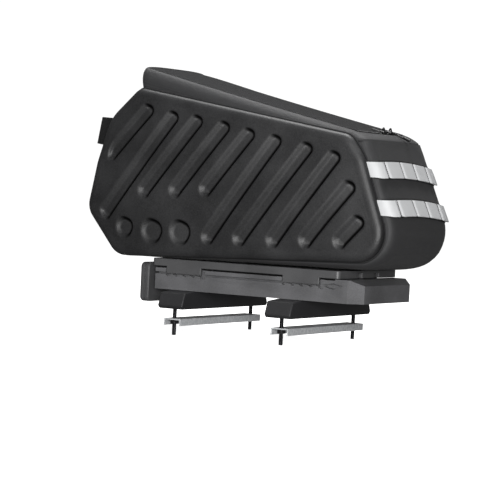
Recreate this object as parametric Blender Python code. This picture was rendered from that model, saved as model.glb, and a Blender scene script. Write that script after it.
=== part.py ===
"""Hard-shell rack bag for a bicycle, on its quick-release rack mount.

Metres, +Z up, +X towards the rear of the bicycle, -Y its left side. The two moulded side shells
are sewn to a fabric gusset, and a zipped lid closes the top. A slide plate under the bag drops
into a base rail, and two cross blocks with bolts and channels clamp that rail to a rack.
The whole model stands on its four clamp bolts, with the origin on the floor under its middle.
"""

import math

import bmesh
import bpy
from mathutils import Matrix, Vector

for old in list(bpy.data.objects):
    bpy.data.objects.remove(old)

# General clearances and wall thicknesses
GAP = 0.0003
FABRIC = 0.0020
SHELL_WALL = 0.0050
WEBBING = 0.0014
SEWN_GAP = 0.0009
CUTTER_OVERRUN = 0.0100

# Clamp bolts, cross blocks and channels
BOLT_RADIUS = 0.0025
BOLT_BELOW_BLOCK = 0.0305
BOLT_IN_BLOCK = 0.0080
BOLT_END_INSET = 0.0120
BLOCK_HALF_LENGTH = 0.0980
BLOCK_WIDTH = 0.0335
BLOCK_HEIGHT = 0.0203
BLOCK_END_DRAFT = 0.0060
BLOCK_SIDE_DRAFT = 0.0010
BLOCK_SHOULDER_DROP = 0.0018
BLOCK_SHOULDER_LENGTH = 0.0220
BLOCK_FOOT_BEVEL = 0.0032
BLOCK_SPACING = 0.1420
FRONT_BLOCK_SETBACK = 0.0390
CHANNEL_WIDTH = 0.0225
CHANNEL_HEIGHT = 0.0080
CHANNEL_WALL = 0.0016
CHANNEL_END_PAST_BOLT = 0.0050
CLAMP_OPENING = 0.0112
NUT_ACROSS_FLATS = 0.0088
NUT_HEIGHT = 0.0042

# Base rail
RAIL_LENGTH = 0.2680
RAIL_HALF_WIDTH = 0.0710
RAIL_CHEEK_HEIGHT = 0.0178
RAIL_NECK_HALF_WIDTH = 0.0640
RAIL_LIP_BOTTOM = 0.0203
RAIL_LIP_TOP = 0.0247
RAIL_TAIL_LENGTH = 0.0300
RAIL_TAIL_HEIGHT = 0.0262
RAIL_TAIL_SLOPE_LENGTH = 0.0125
RAIL_TAIL_SLOPE_DROP = 0.0060
RAIL_CORNER_ALONG = 0.0140
RAIL_CORNER_ACROSS = 0.0145
LEAD_IN_LENGTH = 0.0250
LEAD_IN_DEPTH = 0.0030

# Tabs of the slide plate and the teeth under them
TAB_LENGTH = 0.0472
TAB_NOTCH_LENGTH = 0.0060
TAB_DROP = 0.0080
TAB_THICKNESS = 0.0045
FRONT_TAB_SETBACK = 0.0144
REAR_TAB_SETBACK = 0.1699
TEETH_PER_TAB = 4
TOOTH_DEPTH = 0.0016
TOOTH_SHELF = 0.0006
NOTCH_DEPTH = 0.0030

# Slide plate
PLATE_FRONT_OVERHANG = 0.0053
PLATE_LENGTH = 0.2480
PLATE_HALF_WIDTH = 0.0708
PLATE_THICKNESS = 0.0088
PLATE_LIFT = 0.0021
PLATE_CORNER_RADIUS = 0.0040
PLATE_SKID_WIDTH = 0.0100
PLATE_SKID_PLACE = 0.0420
PLATE_SLOT_WIDTH = 0.0105
PLATE_SLOT_PLACE = 0.0208
PLATE_SLOT_DEPTH = 0.0070
PLATE_SLOT_HEIGHT = 0.0062

# Rocking release catch at the front of the rail
CATCH_THICKNESS = 0.0122
CATCH_HALF_WIDTH = 0.0725
CATCH_ABOVE_RAIL_FOOT = 0.0300
CATCH_BELOW_RAIL_FOOT = 0.0160
CATCH_CLEARANCE = 0.0029
CATCH_BEVEL = 0.0025
CATCH_ROUND = 0.0008
CATCH_BACK_BEVEL = 0.0012
CATCH_GROOVE_WIDTH = 0.0024
CATCH_GROOVE_DEPTH = 0.0014
CATCH_GROOVE_SET_IN = 0.0068
CATCH_PIVOT_HEIGHT = 0.0100
CATCH_BOSS_HALF_WIDTH = 0.0120
CATCH_BOSS_RADIUS = 0.0045
CATCH_NECK_HALF_HEIGHT = 0.0036
CATCH_PIVOT_SET_OUT = 0.0030
PIN_RADIUS = 0.0020
EAR_WIDTH = 0.0110
EAR_HALF_HEIGHT = 0.0045
EAR_CLEARANCE = 0.0014

# Rib pockets in the underside of the rail
RIB_EDGE = 0.0080
RIB_WALL = 0.0035
RIB_DEPTH = 0.0150
RIB_COLUMNS = 6
RIB_ROWS = 3

# Side shells: the outline's corners, before rounding, span this length and height
SHELL_LENGTH = 0.4080
SHELL_HEIGHT = 0.1970
SHELL_FRONT_OVERHANG = 0.0980
SEAM_HALF_WIDTH = 0.0680
SHELL_DEPTH = 0.0110
SEAM_INSET = 0.0030
GROOVE_DEPTH = 0.0030
GROOVE_HALF_WIDTH = 0.0085
GROOVE_TAPER = 0.0028
SHELL_ABOVE_PLATE = 0.0004

# Top of the bag
COLLAR_LEAN = 0.0040
ZIP_WIDTH = 0.0060
ZIP_THICKNESS = 0.0016
LID_THICKNESS = 0.0030
LID_CROWN = 0.0030
LID_ROWS = 5
SLIDER_LENGTH = 0.0090
SLIDER_WIDTH = 0.0060
SLIDER_HEIGHT = 0.0030
PULL_WIDTH = 0.0020

# Webbing
REFLECTIVE_HEIGHT = 0.0168
BACKING_HEIGHT = 0.0205
REFLECTIVE_ARCH = 0.0035
LOOP_HEIGHT = 0.0320
LOOP_REACH = 0.3850
LOOP_LEAN = 0.0055
LOOP_HALF_WIDTH = 0.0360
POUCH_DEPTH = 0.0012

# Heights of the webbings' lower edges over the shell's foot
UPPER_WEBBING_ABOVE_FOOT = 0.1030
LOWER_WEBBING_ABOVE_FOOT = 0.0615
LOOP_ABOVE_FOOT = 0.1310

# Steps of each rounded corner, and the power of the curve across the gusset
ARC_STEPS = 4
GUSSET_SQUARENESS = 4

# One tooth of a tab recess: its place as a share of the tooth pitch, and its depth under the
# cheek's top in times TOOTH_SHELF and TOOTH_DEPTH
# name, along, shelves, depths
TOOTH_PROFILE = [
    ("root_front", 0.10, 1, 1),
    ("root_rear", 0.28, 1, 1),
    ("flank", 0.42, 1, 0),
    ("crest", 0.70, 0, 0),
    ("heel", 0.95, 1, 0),
]

# Corners of the shell's outline in order, as shares of SHELL_LENGTH and SHELL_HEIGHT,
# with the corner's radius as a share of SHELL_HEIGHT
# name, along, up, radius
SHELL_CORNERS = [
    ("front_top", 0.164, 1.000, 0.076),
    ("front_shoulder", 0.069, 0.817, 0.250),
    ("front_breast", 0.022, 0.553, 0.300),
    ("front_nose", 0.000, 0.300, 0.100),
    ("front_foot", 0.108, 0.000, 0.120),
    ("rear_foot", 1.000, 0.063, 0.168),
    ("rear_shoulder", 0.897, 0.645, 0.200),
    ("rear_top", 0.853, 0.767, 0.100),
]

# The same corners on the gusset's middle line, where the fabric stands proud of the seams
# name, along, up, radius
MIDDLE_CORNERS = [
    ("front_top", 0.158, 1.000, 0.000),
    ("front_shoulder", 0.059, 0.825, 0.250),
    ("front_breast", 0.011, 0.558, 0.300),
    ("front_nose", -0.012, 0.300, 0.110),
    ("front_foot", 0.100, 0.000, 0.140),
    ("rear_foot", 1.052, 0.000, 0.239),
    ("rear_shoulder", 0.940, 0.561, 0.050),
    ("rear_top", 0.905, 0.737, 0.000),
]

# Pressed grooves of the side shells, from the centre of the lower end to that of the upper end
# name, low_along, low_up, high_along, high_up
SHELL_GROOVES = [
    ("groove_1", 0.086, 0.609, 0.201, 0.863),
    ("groove_2", 0.066, 0.259, 0.286, 0.826),
    ("groove_3", 0.206, 0.396, 0.367, 0.807),
    ("groove_4", 0.311, 0.406, 0.457, 0.777),
    ("groove_5", 0.412, 0.421, 0.539, 0.742),
    ("groove_6", 0.424, 0.145, 0.625, 0.710),
    ("groove_7", 0.527, 0.147, 0.724, 0.674),
    ("groove_8", 0.635, 0.152, 0.811, 0.632),
    ("groove_9", 0.738, 0.162, 0.861, 0.468),
    ("groove_10", 0.844, 0.170, 0.893, 0.276),
]

# Round pressings below the grooves, with the radius as a share of GROOVE_HALF_WIDTH
# name, along, up, radius
SHELL_DIMPLES = [
    ("dimple_1", 0.142, 0.173, 1.40),
    ("dimple_2", 0.237, 0.160, 1.65),
    ("dimple_3", 0.332, 0.162, 1.65),
]

# Rounded edge of a side shell, from the seam outwards, as shares of SHELL_DEPTH
# inset from the outline, depth from the seam
SHELL_EDGE = [
    (0.27, 0.00),
    (0.03, 0.22),
    (0.00, 0.50),
    (0.16, 0.78),
    (0.55, 0.96),
    (1.08, 1.00),
]

# Half of the front loop's path, from its sewn end to its middle
# share of LOOP_HALF_WIDTH, share of the way from the gusset to the loop's front
LOOP_STATIONS = [
    (1.30, 0.00),
    (1.05, 0.00),
    (0.97, 0.30),
    (0.88, 0.75),
    (0.70, 0.97),
    (0.35, 1.00),
]

# Half of the columns across a reflective webbing: the stitch lines have no lift
# share of SEAM_HALF_WIDTH, lift as a share of POUCH_DEPTH
WEBBING_COLUMNS = [
    (0.985, 0.0),
    (0.97, 0.3),
    (0.88, 1.0),
    (0.74, 0.9),
    (0.60, 0.0),
    (0.40, 1.0),
    (0.20, 0.0),
    (0.00, 1.0),
]

# Levels of every webbing between its lower and upper edge, as shares of its height
WEBBING_LEVELS = [0.0, 0.25, 0.5, 0.75, 1.0]

# Corners of the zip's line along the collar's top edge, as shares of SHELL_LENGTH and SHELL_HEIGHT
# name, along, up
ZIP_CORNERS = [
    ("front", 0.159, 1.127),
    ("rear_corner", 0.838, 0.798),
    ("rear_middle", 0.866, 0.785),
]

# Zip sliders: the station along the rear curve, the pull's length, the way it points in plan
# and how steeply it falls away from the slider, in degrees
# name, station, pull_length, heading, drop
SLIDERS = [
    ("left", 4.1, 0.0100, 195.0, -18.0),
    ("right", 4.6, 0.0240, 0.0, 24.0),
]

# Columns across the gusset, as shares of its half width
GUSSET_COLUMNS = [-1.0, -0.97, -0.88, -0.60, 0.0, 0.60, 0.88, 0.97, 1.0]

# Starts of the names of the pieces, and of their cutters, that move together
CATCH_PIECES = ("release_catch", "catch_boss", "catch_neck", "catch_pin_bore")
FRONT_CLAMP_PIECES = ("front_clamp_channel", "front_clamp_nut", "front_channel_", "front_nut_")
REAR_CLAMP_PIECES = ("rear_clamp_channel", "rear_clamp_nut", "rear_channel_", "rear_nut_")
BAG_PIECES = ("slide_plate", "plate_", "gusset", "side_shell", "upper_", "lower_", "zip_", "lid",
              "front_loop")

# Places worked out from the sizes: the rail's foot is the zero height while building,
# and its rear end the zero length
BLOCK_TOP = -GAP
BLOCK_FOOT = BLOCK_TOP - BLOCK_HEIGHT
PLATE_BOTTOM = RAIL_LIP_TOP + PLATE_LIFT
PLATE_TOP = PLATE_BOTTOM + PLATE_THICKNESS
PLATE_FRONT = -RAIL_LENGTH - PLATE_FRONT_OVERHANG
SHELL_FRONT = -RAIL_LENGTH - SHELL_FRONT_OVERHANG
SHELL_FOOT = PLATE_TOP + SHELL_ABOVE_PLATE
FRONT_BLOCK_X = -RAIL_LENGTH + FRONT_BLOCK_SETBACK
REAR_BLOCK_X = FRONT_BLOCK_X + BLOCK_SPACING
BOLT_Y = BLOCK_HALF_LENGTH - BOLT_END_INSET
TAB_STARTS = [-RAIL_LENGTH + FRONT_TAB_SETBACK, -RAIL_LENGTH + REAR_TAB_SETBACK]
CATCH_BACK = PLATE_FRONT - CATCH_CLEARANCE
CATCH_PIVOT_X = -RAIL_LENGTH - CATCH_PIVOT_SET_OUT


def shell_point(along, up):
    """Place in the X-Z plane from shares of the shell's length and height."""
    return Vector((SHELL_FRONT + along * SHELL_LENGTH, SHELL_FOOT + up * SHELL_HEIGHT))


def rounded_path(corners, closed):
    """Points of an outline with rounded corners: (point, radius) rows, ARC_STEPS steps a corner."""
    path = []
    count = len(corners)
    for index, (point, radius) in enumerate(corners):
        at_end = index in (0, count - 1)
        if at_end and not closed:
            path.append(point.copy())
            continue
        before = (corners[index - 1][0] - point).normalized()
        after = (corners[(index + 1) % count][0] - point).normalized()
        half_angle = before.angle(after) / 2
        tangent = radius / math.tan(half_angle)
        start = point + before * tangent
        finish = point + after * tangent
        centre = point + (before + after).normalized() * (radius / math.sin(half_angle))
        for step in range(ARC_STEPS + 1):
            share = step / ARC_STEPS
            spoke = (start - centre).lerp(finish - centre, share)
            path.append(centre + spoke.normalized() * radius if radius > 0 else point.copy())
    return path


def path_normals(path, closed):
    """Unit normals in the path's plane, to the left of its direction."""
    normals = []
    count = len(path)
    for index in range(count):
        ahead = path[(index + 1) % count] if closed or index < count - 1 else path[index]
        behind = path[index - 1] if closed or index > 0 else path[index]
        if (ahead - behind).length < 1e-9:
            ahead, behind = path[(index + 2) % count], path[index - 2]
        direction = (ahead - behind).normalized()
        normals.append(Vector((-direction.y, direction.x)))
    return normals


def offset_path(path, distance, closed):
    """The path moved to the left of its direction."""
    normals = path_normals(path, closed)
    return [point + normal * distance for point, normal in zip(path, normals)]


def material(name, colour, roughness, metallic=0.0):
    """Plain Principled material, made once for each name."""
    if name in bpy.data.materials:
        return bpy.data.materials[name]
    made = bpy.data.materials.new(name)
    made.use_nodes = True
    shader = made.node_tree.nodes["Principled BSDF"]
    shader.inputs["Base Color"].default_value = (*colour, 1.0)
    shader.inputs["Roughness"].default_value = roughness
    shader.inputs["Metallic"].default_value = metallic
    return made


MOULDED_SHELL = material("moulded_shell", (0.045, 0.045, 0.045), 0.60)
DARK_FABRIC = material("dark_fabric", (0.040, 0.040, 0.041), 0.85)
REFLECTIVE = material("reflective_webbing", (0.62, 0.62, 0.63), 0.45)
BLACK_WEBBING = material("black_webbing", (0.020, 0.020, 0.020), 0.80)
ZIP_PLASTIC = material("zip_plastic", (0.015, 0.015, 0.015), 0.40)
MOUNT_PLASTIC = material("mount_plastic", (0.075, 0.075, 0.075), 0.50)
BLOCK_PLASTIC = material("block_plastic", (0.030, 0.030, 0.031), 0.55)
GALVANISED = material("galvanised_steel", (0.55, 0.56, 0.57), 0.35, 1.0)
DARK_STEEL = material("dark_steel", (0.12, 0.12, 0.12), 0.40, 1.0)

ASSEMBLY = bpy.data.objects.new("assembly", None)
bpy.context.scene.collection.objects.link(ASSEMBLY)


def add_object(name, mesh, finish):
    """A named object of the assembly that shows this mesh."""
    mesh.name = name
    mesh.materials.clear()
    mesh.materials.append(finish)
    made = bpy.data.objects.new(name, mesh)
    bpy.context.scene.collection.objects.link(made)
    made.parent = ASSEMBLY
    mesh.shade_smooth()
    mesh.set_sharp_from_angle(angle=math.radians(35))
    return made


def helper(name, mesh):
    """An object that only shapes another one and is not built itself."""
    made = bpy.data.objects.new(name, mesh)
    bpy.context.scene.collection.objects.link(made)
    made.parent = ASSEMBLY
    made.hide_render = True
    made.display_type = "WIRE"
    return made


def boolean(target, operand, operation):
    """Cut or join another object with a Boolean modifier."""
    modifier = target.modifiers.new(operand.name, "BOOLEAN")
    modifier.operation = operation
    modifier.solver = "EXACT"
    modifier.object = operand


def bevel(target, width, angle=40.0, segments=1):
    """Bevel the edges sharper than an angle in degrees."""
    modifier = target.modifiers.new("edge_bevel", "BEVEL")
    modifier.width = width
    modifier.segments = segments
    modifier.limit_method = "ANGLE"
    modifier.angle_limit = math.radians(angle)


def mesh_from(bm):
    """Close a bmesh into mesh data with its faces pointing out."""
    bmesh.ops.remove_doubles(bm, verts=bm.verts, dist=1e-7)
    bmesh.ops.recalc_face_normals(bm, faces=bm.faces)
    mesh = bpy.data.meshes.new("mesh")
    bm.to_mesh(mesh)
    bm.free()
    return mesh


def prism_into(bm, outline, place, low, high):
    """Add an outline extruded between two depths; place(u, v, depth) gives the 3-D point."""
    lower = [bm.verts.new(place(point[0], point[1], low)) for point in outline]
    upper = [bm.verts.new(place(point[0], point[1], high)) for point in outline]
    count = len(outline)
    bm.faces.new(lower)
    bm.faces.new(list(reversed(upper)))
    for index in range(count):
        following = (index + 1) % count
        bm.faces.new((lower[index], upper[index], upper[following], lower[following]))


def side_place(along, height, across):
    """Point of an outline that is drawn in side view."""
    return Vector((along, across, height))


def plan_place(along, across, height):
    """Point of an outline that is drawn in plan."""
    return Vector((along, across, height))


def end_place(across, height, along):
    """Point of an outline that is drawn in end view."""
    return Vector((along, across, height))


def prism(outline, place, low, high):
    """Mesh of one extruded outline."""
    bm = bmesh.new()
    prism_into(bm, outline, place, low, high)
    return mesh_from(bm)


def box_outline(low_u, high_u, low_v, high_v):
    """Corners of a rectangle."""
    return [(low_u, low_v), (high_u, low_v), (high_u, high_v), (low_u, high_v)]


def boxes(rows):
    """Mesh of separate boxes from (low corner, high corner) rows."""
    bm = bmesh.new()
    for low, high in rows:
        outline = box_outline(low[0], high[0], low[1], high[1])
        prism_into(bm, outline, plan_place, low[2], high[2])
    return mesh_from(bm)


def circle(radius, sides, turn=0.0):
    """Corners of a regular polygon."""
    angles = [turn + 2 * math.pi * side / sides for side in range(sides)]
    return [(radius * math.cos(angle), radius * math.sin(angle)) for angle in angles]


def cylinder(centre, radius, low, high, axis, sides=16):
    """Mesh of a cylinder along one axis, through centre, between two depths on that axis."""
    places = {
        "X": lambda u, v, depth: Vector((depth, centre[1] + u, centre[2] + v)),
        "Y": lambda u, v, depth: Vector((centre[0] + u, depth, centre[2] + v)),
        "Z": lambda u, v, depth: Vector((centre[0] + u, centre[1] + v, depth)),
    }
    return prism(circle(radius, sides), places[axis], low, high)


def lofted(rings, closed_rings):
    """Closed mesh through rings of as many points; capped, or with its last ring joined to the first."""
    bm = bmesh.new()
    rows = [[bm.verts.new(point) for point in ring] for ring in rings]
    count = len(rows[0])
    for lower, upper in zip(rows, rows[1:]):
        for index in range(count):
            following = (index + 1) % count
            bm.faces.new((lower[index], lower[following], upper[following], upper[index]))
    if closed_rings:
        lower, upper = rows[-1], rows[0]
        for index in range(count):
            following = (index + 1) % count
            bm.faces.new((lower[index], lower[following], upper[following], upper[index]))
    else:
        bm.faces.new(rows[0])
        bm.faces.new(list(reversed(rows[-1])))
    return mesh_from(bm)


def sheet_strip(outer_rows, inner_rows):
    """Closed sheet between two grids of points with the same rows and columns."""
    bm = bmesh.new()
    outer = [[bm.verts.new(point) for point in row] for row in outer_rows]
    inner = [[bm.verts.new(point) for point in row] for row in inner_rows]
    row_count, column_count = len(outer), len(outer[0])
    for row in range(row_count - 1):
        for column in range(column_count - 1):
            for grid in (outer, inner):
                bm.faces.new((grid[row][column], grid[row][column + 1],
                              grid[row + 1][column + 1], grid[row + 1][column]))
    for row in range(row_count - 1):
        for column in (0, column_count - 1):
            bm.faces.new((outer[row][column], outer[row + 1][column],
                          inner[row + 1][column], inner[row][column]))
    for row in (0, row_count - 1):
        for column in range(column_count - 1):
            bm.faces.new((outer[row][column], outer[row][column + 1],
                          inner[row][column + 1], inner[row][column]))
    return mesh_from(bm)


def cut_mesh_hole(target, name, centre, radius, low, high, axis):
    """Drill a round hole through an object."""
    boolean(target, helper(name, cylinder(centre, radius, low, high, axis)), "DIFFERENCE")


def rail_plan():
    """Plan outline of the base rail with its two cut rear corners."""
    across = RAIL_HALF_WIDTH - RAIL_CORNER_ACROSS
    half = [(-RAIL_LENGTH, -RAIL_HALF_WIDTH), (-RAIL_CORNER_ALONG, -RAIL_HALF_WIDTH), (0.0, -across)]
    return half + [(along, -width) for along, width in reversed(half)]


def tab_recess_outline(start):
    """Side view of the recess for one tab: a shelf with round-bottomed teeth, and the free notch."""
    finish = start + TAB_LENGTH
    pitch = TAB_LENGTH / TEETH_PER_TAB
    outline = [(start - GAP, RAIL_TAIL_HEIGHT), (start - GAP, RAIL_CHEEK_HEIGHT - TOOTH_SHELF)]
    for tooth in range(TEETH_PER_TAB):
        for _, along, shelves, depths in TOOTH_PROFILE:
            height = RAIL_CHEEK_HEIGHT - shelves * TOOTH_SHELF - depths * TOOTH_DEPTH
            outline.append((start + (tooth + along) * pitch, height))
    outline.append((finish, RAIL_CHEEK_HEIGHT - NOTCH_DEPTH))
    outline.append((finish + TAB_NOTCH_LENGTH, RAIL_CHEEK_HEIGHT - NOTCH_DEPTH))
    outline.append((finish + TAB_NOTCH_LENGTH, RAIL_TAIL_HEIGHT))
    return outline


def build_base_rail():
    """Moulded rail: cheeks, side grooves, lips with tab recesses, a sloped tail and pivot ears."""
    rail = add_object("base_rail", prism(rail_plan(), plan_place, 0.0, RAIL_LIP_TOP), MOUNT_PLASTIC)
    tail = rail_plan()
    tail[0] = (-RAIL_TAIL_LENGTH, -RAIL_HALF_WIDTH)
    tail[-1] = (-RAIL_TAIL_LENGTH, RAIL_HALF_WIDTH)
    block = prism(tail, plan_place, RAIL_LIP_BOTTOM, RAIL_TAIL_HEIGHT)
    boolean(rail, helper("rail_tail_block", block), "UNION")

    slope_foot = RAIL_TAIL_HEIGHT - RAIL_TAIL_SLOPE_DROP
    slope = [(-RAIL_TAIL_SLOPE_LENGTH, RAIL_TAIL_HEIGHT), (0.0, slope_foot),
             (CUTTER_OVERRUN, slope_foot), (CUTTER_OVERRUN, RAIL_TAIL_HEIGHT + CUTTER_OVERRUN),
             (-RAIL_TAIL_SLOPE_LENGTH, RAIL_TAIL_HEIGHT + CUTTER_OVERRUN)]
    reach = RAIL_HALF_WIDTH + CUTTER_OVERRUN
    boolean(rail, helper("rail_tail_slope", prism(slope, side_place, -reach, reach)), "DIFFERENCE")

    groove_end = TAB_STARTS[1] + TAB_LENGTH + TAB_NOTCH_LENGTH + LEAD_IN_LENGTH / 2
    lead_mid = (RAIL_CHEEK_HEIGHT + RAIL_LIP_BOTTOM) / 2
    for side in (-1, 1):
        inner = side * RAIL_NECK_HALF_WIDTH
        outer = side * reach
        low, high = min(inner, outer), max(inner, outer)
        groove = box_outline(-RAIL_LENGTH - CUTTER_OVERRUN, groove_end, RAIL_CHEEK_HEIGHT, RAIL_LIP_BOTTOM)
        lead_in = [(groove_end - LEAD_IN_LENGTH / 2, RAIL_CHEEK_HEIGHT),
                   (groove_end, RAIL_CHEEK_HEIGHT - LEAD_IN_DEPTH),
                   (groove_end + LEAD_IN_LENGTH / 2, lead_mid),
                   (groove_end, RAIL_LIP_BOTTOM + LEAD_IN_DEPTH / 2),
                   (groove_end - LEAD_IN_LENGTH / 4, RAIL_LIP_BOTTOM)]
        for name, outline in (("groove", groove), ("lead_in", lead_in)):
            cutter = helper(f"rail_{name}_{side}", prism(outline, side_place, low, high))
            boolean(rail, cutter, "DIFFERENCE")
        for number, start in enumerate(TAB_STARTS):
            cutter = helper(f"rail_tab_{number}_{side}",
                            prism(tab_recess_outline(start), side_place, low, high))
            boolean(rail, cutter, "DIFFERENCE")

    ribs = []
    column_pitch = (RAIL_LENGTH - RIB_EDGE * 2 - RAIL_TAIL_SLOPE_LENGTH) / RIB_COLUMNS
    row_pitch = (RAIL_NECK_HALF_WIDTH - RIB_EDGE) * 2 / RIB_ROWS
    for column in range(RIB_COLUMNS):
        for row in range(RIB_ROWS):
            along = -RAIL_LENGTH + RIB_EDGE + column * column_pitch
            across = -RAIL_NECK_HALF_WIDTH + RIB_EDGE + row * row_pitch
            ribs.append(((along + RIB_WALL, across + RIB_WALL, -RIB_DEPTH),
                         (along + column_pitch, across + row_pitch, RIB_DEPTH)))
    boolean(rail, helper("rail_rib_pockets", boxes(ribs)), "DIFFERENCE")

    ear_low, ear_high = CATCH_PIVOT_HEIGHT - EAR_HALF_HEIGHT, CATCH_PIVOT_HEIGHT + EAR_HALF_HEIGHT
    ear_front = CATCH_BACK + EAR_CLEARANCE
    ear_inner = CATCH_BOSS_HALF_WIDTH + GAP
    ears = []
    for side in (-1, 1):
        sides = sorted((side * ear_inner, side * (ear_inner + EAR_WIDTH)))
        ears.append(((ear_front, sides[0], ear_low), (-RAIL_LENGTH + RIB_WALL, sides[1], ear_high)))
    boolean(rail, helper("rail_pivot_ears", boxes(ears)), "UNION")
    boss_room = CATCH_BOSS_RADIUS + 2 * GAP
    room = [((-RAIL_LENGTH - CUTTER_OVERRUN, -ear_inner, CATCH_PIVOT_HEIGHT - boss_room),
             (CATCH_PIVOT_X + boss_room, ear_inner, CATCH_PIVOT_HEIGHT + boss_room))]
    boolean(rail, helper("rail_boss_room", boxes(room)), "DIFFERENCE")
    reach = ear_inner + EAR_WIDTH
    cut_mesh_hole(rail, "rail_pin_bore", (CATCH_PIVOT_X, 0.0, CATCH_PIVOT_HEIGHT),
                  PIN_RADIUS + GAP, -reach, reach, "Y")


def build_release_catch():
    """Two-layer rocking lever across the front of the rail, with the boss that it turns on."""
    front = CATCH_BACK - CATCH_THICKNESS
    low, high = -CATCH_BELOW_RAIL_FOOT, CATCH_ABOVE_RAIL_FOOT
    corner = CATCH_BEVEL * 2

    def ring(along, inset):
        half = CATCH_HALF_WIDTH - inset
        corners = [Vector(point) for point in box_outline(-half, half, low + inset, high - inset)]
        path = rounded_path([(point, corner) for point in corners], True)
        return [end_place(point.x, point.y, along) for point in path]

    groove_middle = front + CATCH_GROOVE_SET_IN
    groove_low = groove_middle - CATCH_GROOVE_WIDTH / 2
    groove_high = groove_middle + CATCH_GROOVE_WIDTH / 2
    rings = [ring(front, CATCH_BEVEL), ring(front + CATCH_ROUND, CATCH_ROUND),
             ring(front + CATCH_BEVEL, 0.0), ring(groove_low, 0.0),
             ring(groove_low + GAP, CATCH_GROOVE_DEPTH), ring(groove_high - GAP, CATCH_GROOVE_DEPTH),
             ring(groove_high, 0.0), ring(CATCH_BACK - CATCH_BACK_BEVEL, 0.0),
             ring(CATCH_BACK, CATCH_BACK_BEVEL)]
    catch = add_object("release_catch", lofted(rings, False), MOUNT_PLASTIC)
    boss = cylinder((CATCH_PIVOT_X, 0.0, CATCH_PIVOT_HEIGHT), CATCH_BOSS_RADIUS,
                    -CATCH_BOSS_HALF_WIDTH, CATCH_BOSS_HALF_WIDTH, "Y")
    boolean(catch, helper("catch_boss", boss), "UNION")
    neck_low = CATCH_PIVOT_HEIGHT - CATCH_NECK_HALF_HEIGHT
    neck_high = CATCH_PIVOT_HEIGHT + CATCH_NECK_HALF_HEIGHT
    neck = [((CATCH_BACK - CATCH_BEVEL, -CATCH_BOSS_HALF_WIDTH, neck_low),
             (CATCH_PIVOT_X, CATCH_BOSS_HALF_WIDTH, neck_high))]
    boolean(catch, helper("catch_neck", boxes(neck)), "UNION")
    reach = CATCH_BOSS_HALF_WIDTH + CUTTER_OVERRUN
    cut_mesh_hole(catch, "catch_pin_bore", (CATCH_PIVOT_X, 0.0, CATCH_PIVOT_HEIGHT),
                  PIN_RADIUS + GAP, -reach, reach, "Y")

    pin_reach = CATCH_BOSS_HALF_WIDTH + EAR_WIDTH
    pin = cylinder((CATCH_PIVOT_X, 0.0, CATCH_PIVOT_HEIGHT), PIN_RADIUS, -pin_reach, pin_reach, "Y")
    add_object("catch_pin", pin, DARK_STEEL)


def build_cross_block(name, centre):
    """Bar across the rack under the rail, with sloped ends and a bore for each clamp bolt."""
    shoulder = BLOCK_TOP - BLOCK_SHOULDER_DROP
    foot_edge = BLOCK_FOOT + BLOCK_FOOT_BEVEL
    top_end = BLOCK_HALF_LENGTH - BLOCK_END_DRAFT
    half = [(top_end - BLOCK_SHOULDER_LENGTH, BLOCK_TOP), (top_end, shoulder),
            (BLOCK_HALF_LENGTH, foot_edge), (BLOCK_HALF_LENGTH - BLOCK_FOOT_BEVEL, BLOCK_FOOT)]
    outline = half + [(-across, height) for across, height in reversed(half)]
    low, high = centre - BLOCK_WIDTH / 2, centre + BLOCK_WIDTH / 2
    block = add_object(name, prism(outline, end_place, low, high), BLOCK_PLASTIC)
    bevel(block, BLOCK_SIDE_DRAFT, 50.0)
    for side, word in ((-1, "left"), (1, "right")):
        cut_mesh_hole(block, f"{name}_bore_{word}", (centre, side * BOLT_Y, 0.0), BOLT_RADIUS + GAP,
                      BLOCK_FOOT - CUTTER_OVERRUN, BLOCK_FOOT + BOLT_IN_BLOCK + GAP, "Z")


def build_clamp(name, centre):
    """Channel that grips the rack from below, with its two bolts and the nuts inside it."""
    top = BLOCK_FOOT - CLAMP_OPENING
    half = CHANNEL_WIDTH / 2
    inside = half - CHANNEL_WALL
    section = [(-half, -CHANNEL_HEIGHT), (-half, 0.0), (half, 0.0), (half, -CHANNEL_HEIGHT),
               (inside, -CHANNEL_HEIGHT), (inside, -CHANNEL_WALL),
               (-inside, -CHANNEL_WALL), (-inside, -CHANNEL_HEIGHT)]
    outline = [(centre + along, top + height) for along, height in section]
    reach = BOLT_Y + CHANNEL_END_PAST_BOLT
    channel = add_object(f"{name}_clamp_channel", prism(outline, side_place, -reach, reach), GALVANISED)
    nut_top = top - CHANNEL_WALL - GAP
    corner_radius = NUT_ACROSS_FLATS / math.sqrt(3)
    for side, word in ((-1, "left"), (1, "right")):
        place = (centre, side * BOLT_Y, 0.0)
        cut_mesh_hole(channel, f"{name}_channel_hole_{word}", place, BOLT_RADIUS + GAP,
                      top - CHANNEL_HEIGHT, top + CHANNEL_WALL, "Z")
        hexagon = [(centre + x, side * BOLT_Y + y) for x, y in circle(corner_radius, 6)]
        nut = add_object(f"{name}_clamp_nut_{word}",
                         prism(hexagon, plan_place, nut_top - NUT_HEIGHT, nut_top), DARK_STEEL)
        cut_mesh_hole(nut, f"{name}_nut_hole_{word}", place, BOLT_RADIUS + GAP,
                      nut_top - NUT_HEIGHT - CUTTER_OVERRUN, nut_top + CUTTER_OVERRUN, "Z")
        bolt = cylinder(place, BOLT_RADIUS, BLOCK_FOOT - BOLT_BELOW_BLOCK,
                        BLOCK_FOOT + BOLT_IN_BLOCK, "Z", 12)
        add_object(f"{name}_clamp_bolt_{word}", bolt, DARK_STEEL)


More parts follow.
